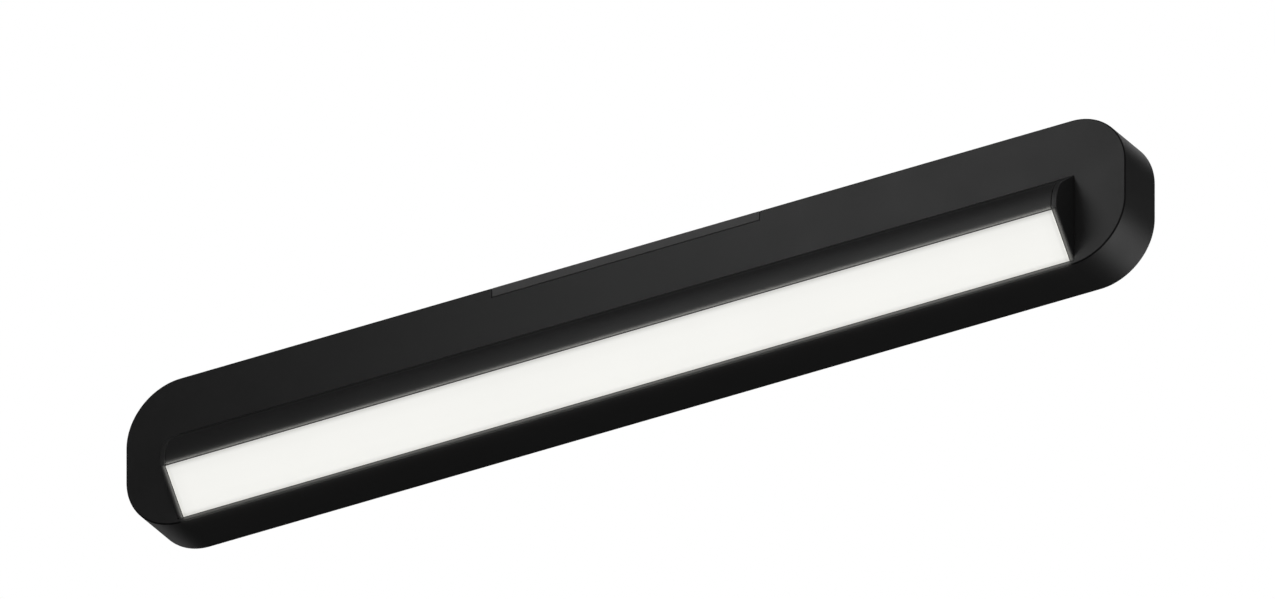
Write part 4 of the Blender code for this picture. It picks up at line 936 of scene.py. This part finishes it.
def make_return_springs():
    """Two coils between the strip and the switch frame, which ride with the strip; they don't
    shorten as it is pressed.
    """
    steps = SPRING_TURNS * SPRING_STEPS
    for side in ("left", "right"):
        node = "return_spring_" + side
        low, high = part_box(node)
        centre = (low + high) / 2
        radius = (high.x - low.x) / 2 - SPRING_WIRE
        start_y, end_y = low.y + SPRING_WIRE, high.y - SPRING_WIRE
        curve = bpy.data.curves.new(node, "CURVE")
        curve.dimensions = "3D"
        curve.bevel_depth = SPRING_WIRE
        curve.bevel_resolution = 3
        curve.use_fill_caps = True
        line = curve.splines.new("POLY")
        line.points.add(steps)
        for step, point in enumerate(line.points):
            angle = math.tau * step / SPRING_STEPS
            x = centre.x + radius * math.cos(angle)
            z = centre.z + radius * math.sin(angle)
            point.co = (x, start_y + (end_y - start_y) * step / steps, z, 1)
        coil = shade(linked("coil_" + side, evaluated(linked("coil", curve))))
        dress(coil, SPRING, "spring_steel", "switch", node)
        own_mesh(coil)


# ------------------------------------------------------------------ camera, light and floor


def add_camera():
    """A parallel camera that looks up at the front."""
    level = math.cos(CAMERA_ELEVATION)
    away_x = math.sin(CAMERA_AZIMUTH) * level
    away_y = -math.cos(CAMERA_AZIMUTH) * level
    away = Vector((away_x, away_y, math.sin(CAMERA_ELEVATION)))
    turn = (-away).to_track_quat("-Z", "Y")
    right = turn @ Vector((1, 0, 0))
    up = turn @ Vector((0, 1, 0))
    data = bpy.data.cameras.new("camera")
    data.type = "ORTHO"
    data.ortho_scale = VIEW_WIDTH
    data.clip_end = 100
    camera = linked("camera", data)
    camera.rotation_mode = "QUATERNION"
    camera.rotation_quaternion = turn
    aim = Vector((0, FRONT_Y, 0)) + AIM_RIGHT * right + AIM_UP * up
    camera.location = aim + CAMERA_DISTANCE * away
    bpy.context.scene.camera = camera


def area_lamp(name, size, power, colour=(1, 1, 1)):
    """A flat lamp that shines along its own -z and isn't seen itself."""
    data = bpy.data.lights.new(name, "AREA")
    data.shape = "RECTANGLE"
    data.size, data.size_y = size
    data.energy = power
    data.color = colour
    lamp = linked(name, data)
    lamp.visible_camera = False
    return lamp


def add_softboxes():
    for name, (place, target, size, power) in SOFTBOXES.items():
        lamp = area_lamp(name, size, power)
        lamp.location = place
        lamp.rotation_mode = "QUATERNION"
        lamp.rotation_quaternion = (Vector(target) - Vector(place)).to_track_quat("-Z", "Y")


def add_spill_light(name, size, power, place):
    """A thin lamp that rides on the light bar."""
    lamp = area_lamp(name, size, power, SPILL_COLOUR)
    lamp.matrix_world = place
    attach(lamp, "light_bar")


def tilted(degrees):
    """The turn of a lamp that shines down at 0, back at 90 and up at 180 degrees."""
    return Matrix.Rotation(math.radians(degrees), 4, "X")


def add_spill_lights():
    """Thin lamps that stand for the panel's glow on the coated edges round it.

    Two lie in the panel's plane just past its long edges, two before the caps, one before the
    lower lip of the slot and one below it, for the glow that reaches the bottom wall.
    """
    along = (2 * DIFFUSER_X, SPILL_WIDTH)
    half_width = half_chord(BAR_RADIUS, BAR_FACE)
    across = (SPILL_WIDTH, 2 * half_width)
    facing_back = tilted(90)
    upper_z = half_width + UPPER_SPILL_OFFSET
    lower_z = -half_width - LOWER_SPILL_OFFSET
    for name, z in (("upper_spill", upper_z), ("lower_spill", lower_z)):
        place = BAR_FRAME @ Matrix.Translation((0, -BAR_FACE, z)) @ facing_back
        add_spill_light(name, along, SPILL_POWER, place)
    cap_x = DIFFUSER_X + SPILL_STAND_OFF
    cap_front = -BAR_FACE - SPILL_STAND_OFF
    for name, sign in (("left_spill", -1), ("right_spill", 1)):
        place = Matrix.Translation((sign * cap_x, cap_front, 0)) @ facing_back
        add_spill_light(name, across, CAP_SPILL_POWER, BAR_FRAME @ place)
    front_y = FRONT_Y - SPILL_STAND_OFF
    lip = Matrix.Translation((0, front_y, SLOT_BOTTOM_Z + LIP_SPILL_RISE))
    add_spill_light("lip_spill", along, LIP_SPILL_POWER, lip @ tilted(LIP_SPILL_TURN))
    under = Matrix.Translation((0, front_y, -HEIGHT / 2 - UNDER_SPILL_DROP))
    add_spill_light("under_spill", along, UNDER_SPILL_POWER, under @ tilted(UNDER_SPILL_TURN))


def add_world():
    """A dim even light all round, and a white backdrop that only the camera sees."""
    world = bpy.data.worlds.new("world")
    bpy.context.scene.world = world
    world.use_nodes = True
    nodes = world.node_tree.nodes
    links = world.node_tree.links
    output = nodes["World Output"]
    ambient = nodes["Background"]
    ambient.inputs["Color"].default_value = (1, 1, 1, 1)
    ambient.inputs["Strength"].default_value = AMBIENT
    seen = nodes.new("ShaderNodeBackground")
    seen.inputs["Color"].default_value = (1, 1, 1, 1)
    seen.inputs["Strength"].default_value = 1.0
    path = nodes.new("ShaderNodeLightPath")
    mix = nodes.new("ShaderNodeMixShader")
    links.new(path.outputs["Is Camera Ray"], mix.inputs["Fac"])
    links.new(ambient.outputs["Background"], mix.inputs[1])
    links.new(seen.outputs["Background"], mix.inputs[2])
    links.new(mix.outputs["Shader"], output.inputs["Surface"])


def add_floor():
    """A pale floor that throws no light on the luminaire."""
    mesh = bpy.data.meshes.new("floor")
    shape = bmesh.new()
    bmesh.ops.create_circle(shape, cap_ends=True, segments=96, radius=FLOOR_RADIUS)
    shape.to_mesh(mesh)
    shape.free()
    floor = linked("floor", mesh)
    floor.location = (0, 0, FLOOR_Z)
    dark, light = (0.86, 0.86, 0.85), (0.88, 0.88, 0.87)
    tree = finish_material("floor", dark, light, (0.8, 0.9), 0.002, 0.00001, blotch=0.5)
    tree.set(Emission_Color=(1, 1, 1, 1), Emission_Strength=FLOOR_GLOW)
    mesh.materials.append(tree.material)
    floor.visible_diffuse = False
    floor.visible_glossy = False


dress_cad_nodes()
make_housing()
make_cover_screws()
make_bar_profile()
make_end_caps()
make_diffuser()
make_switch_strip()
make_return_springs()
add_camera()
add_softboxes()
add_spill_lights()
add_world()
add_floor()
bpy.context.scene.view_settings.view_transform = "Standard"
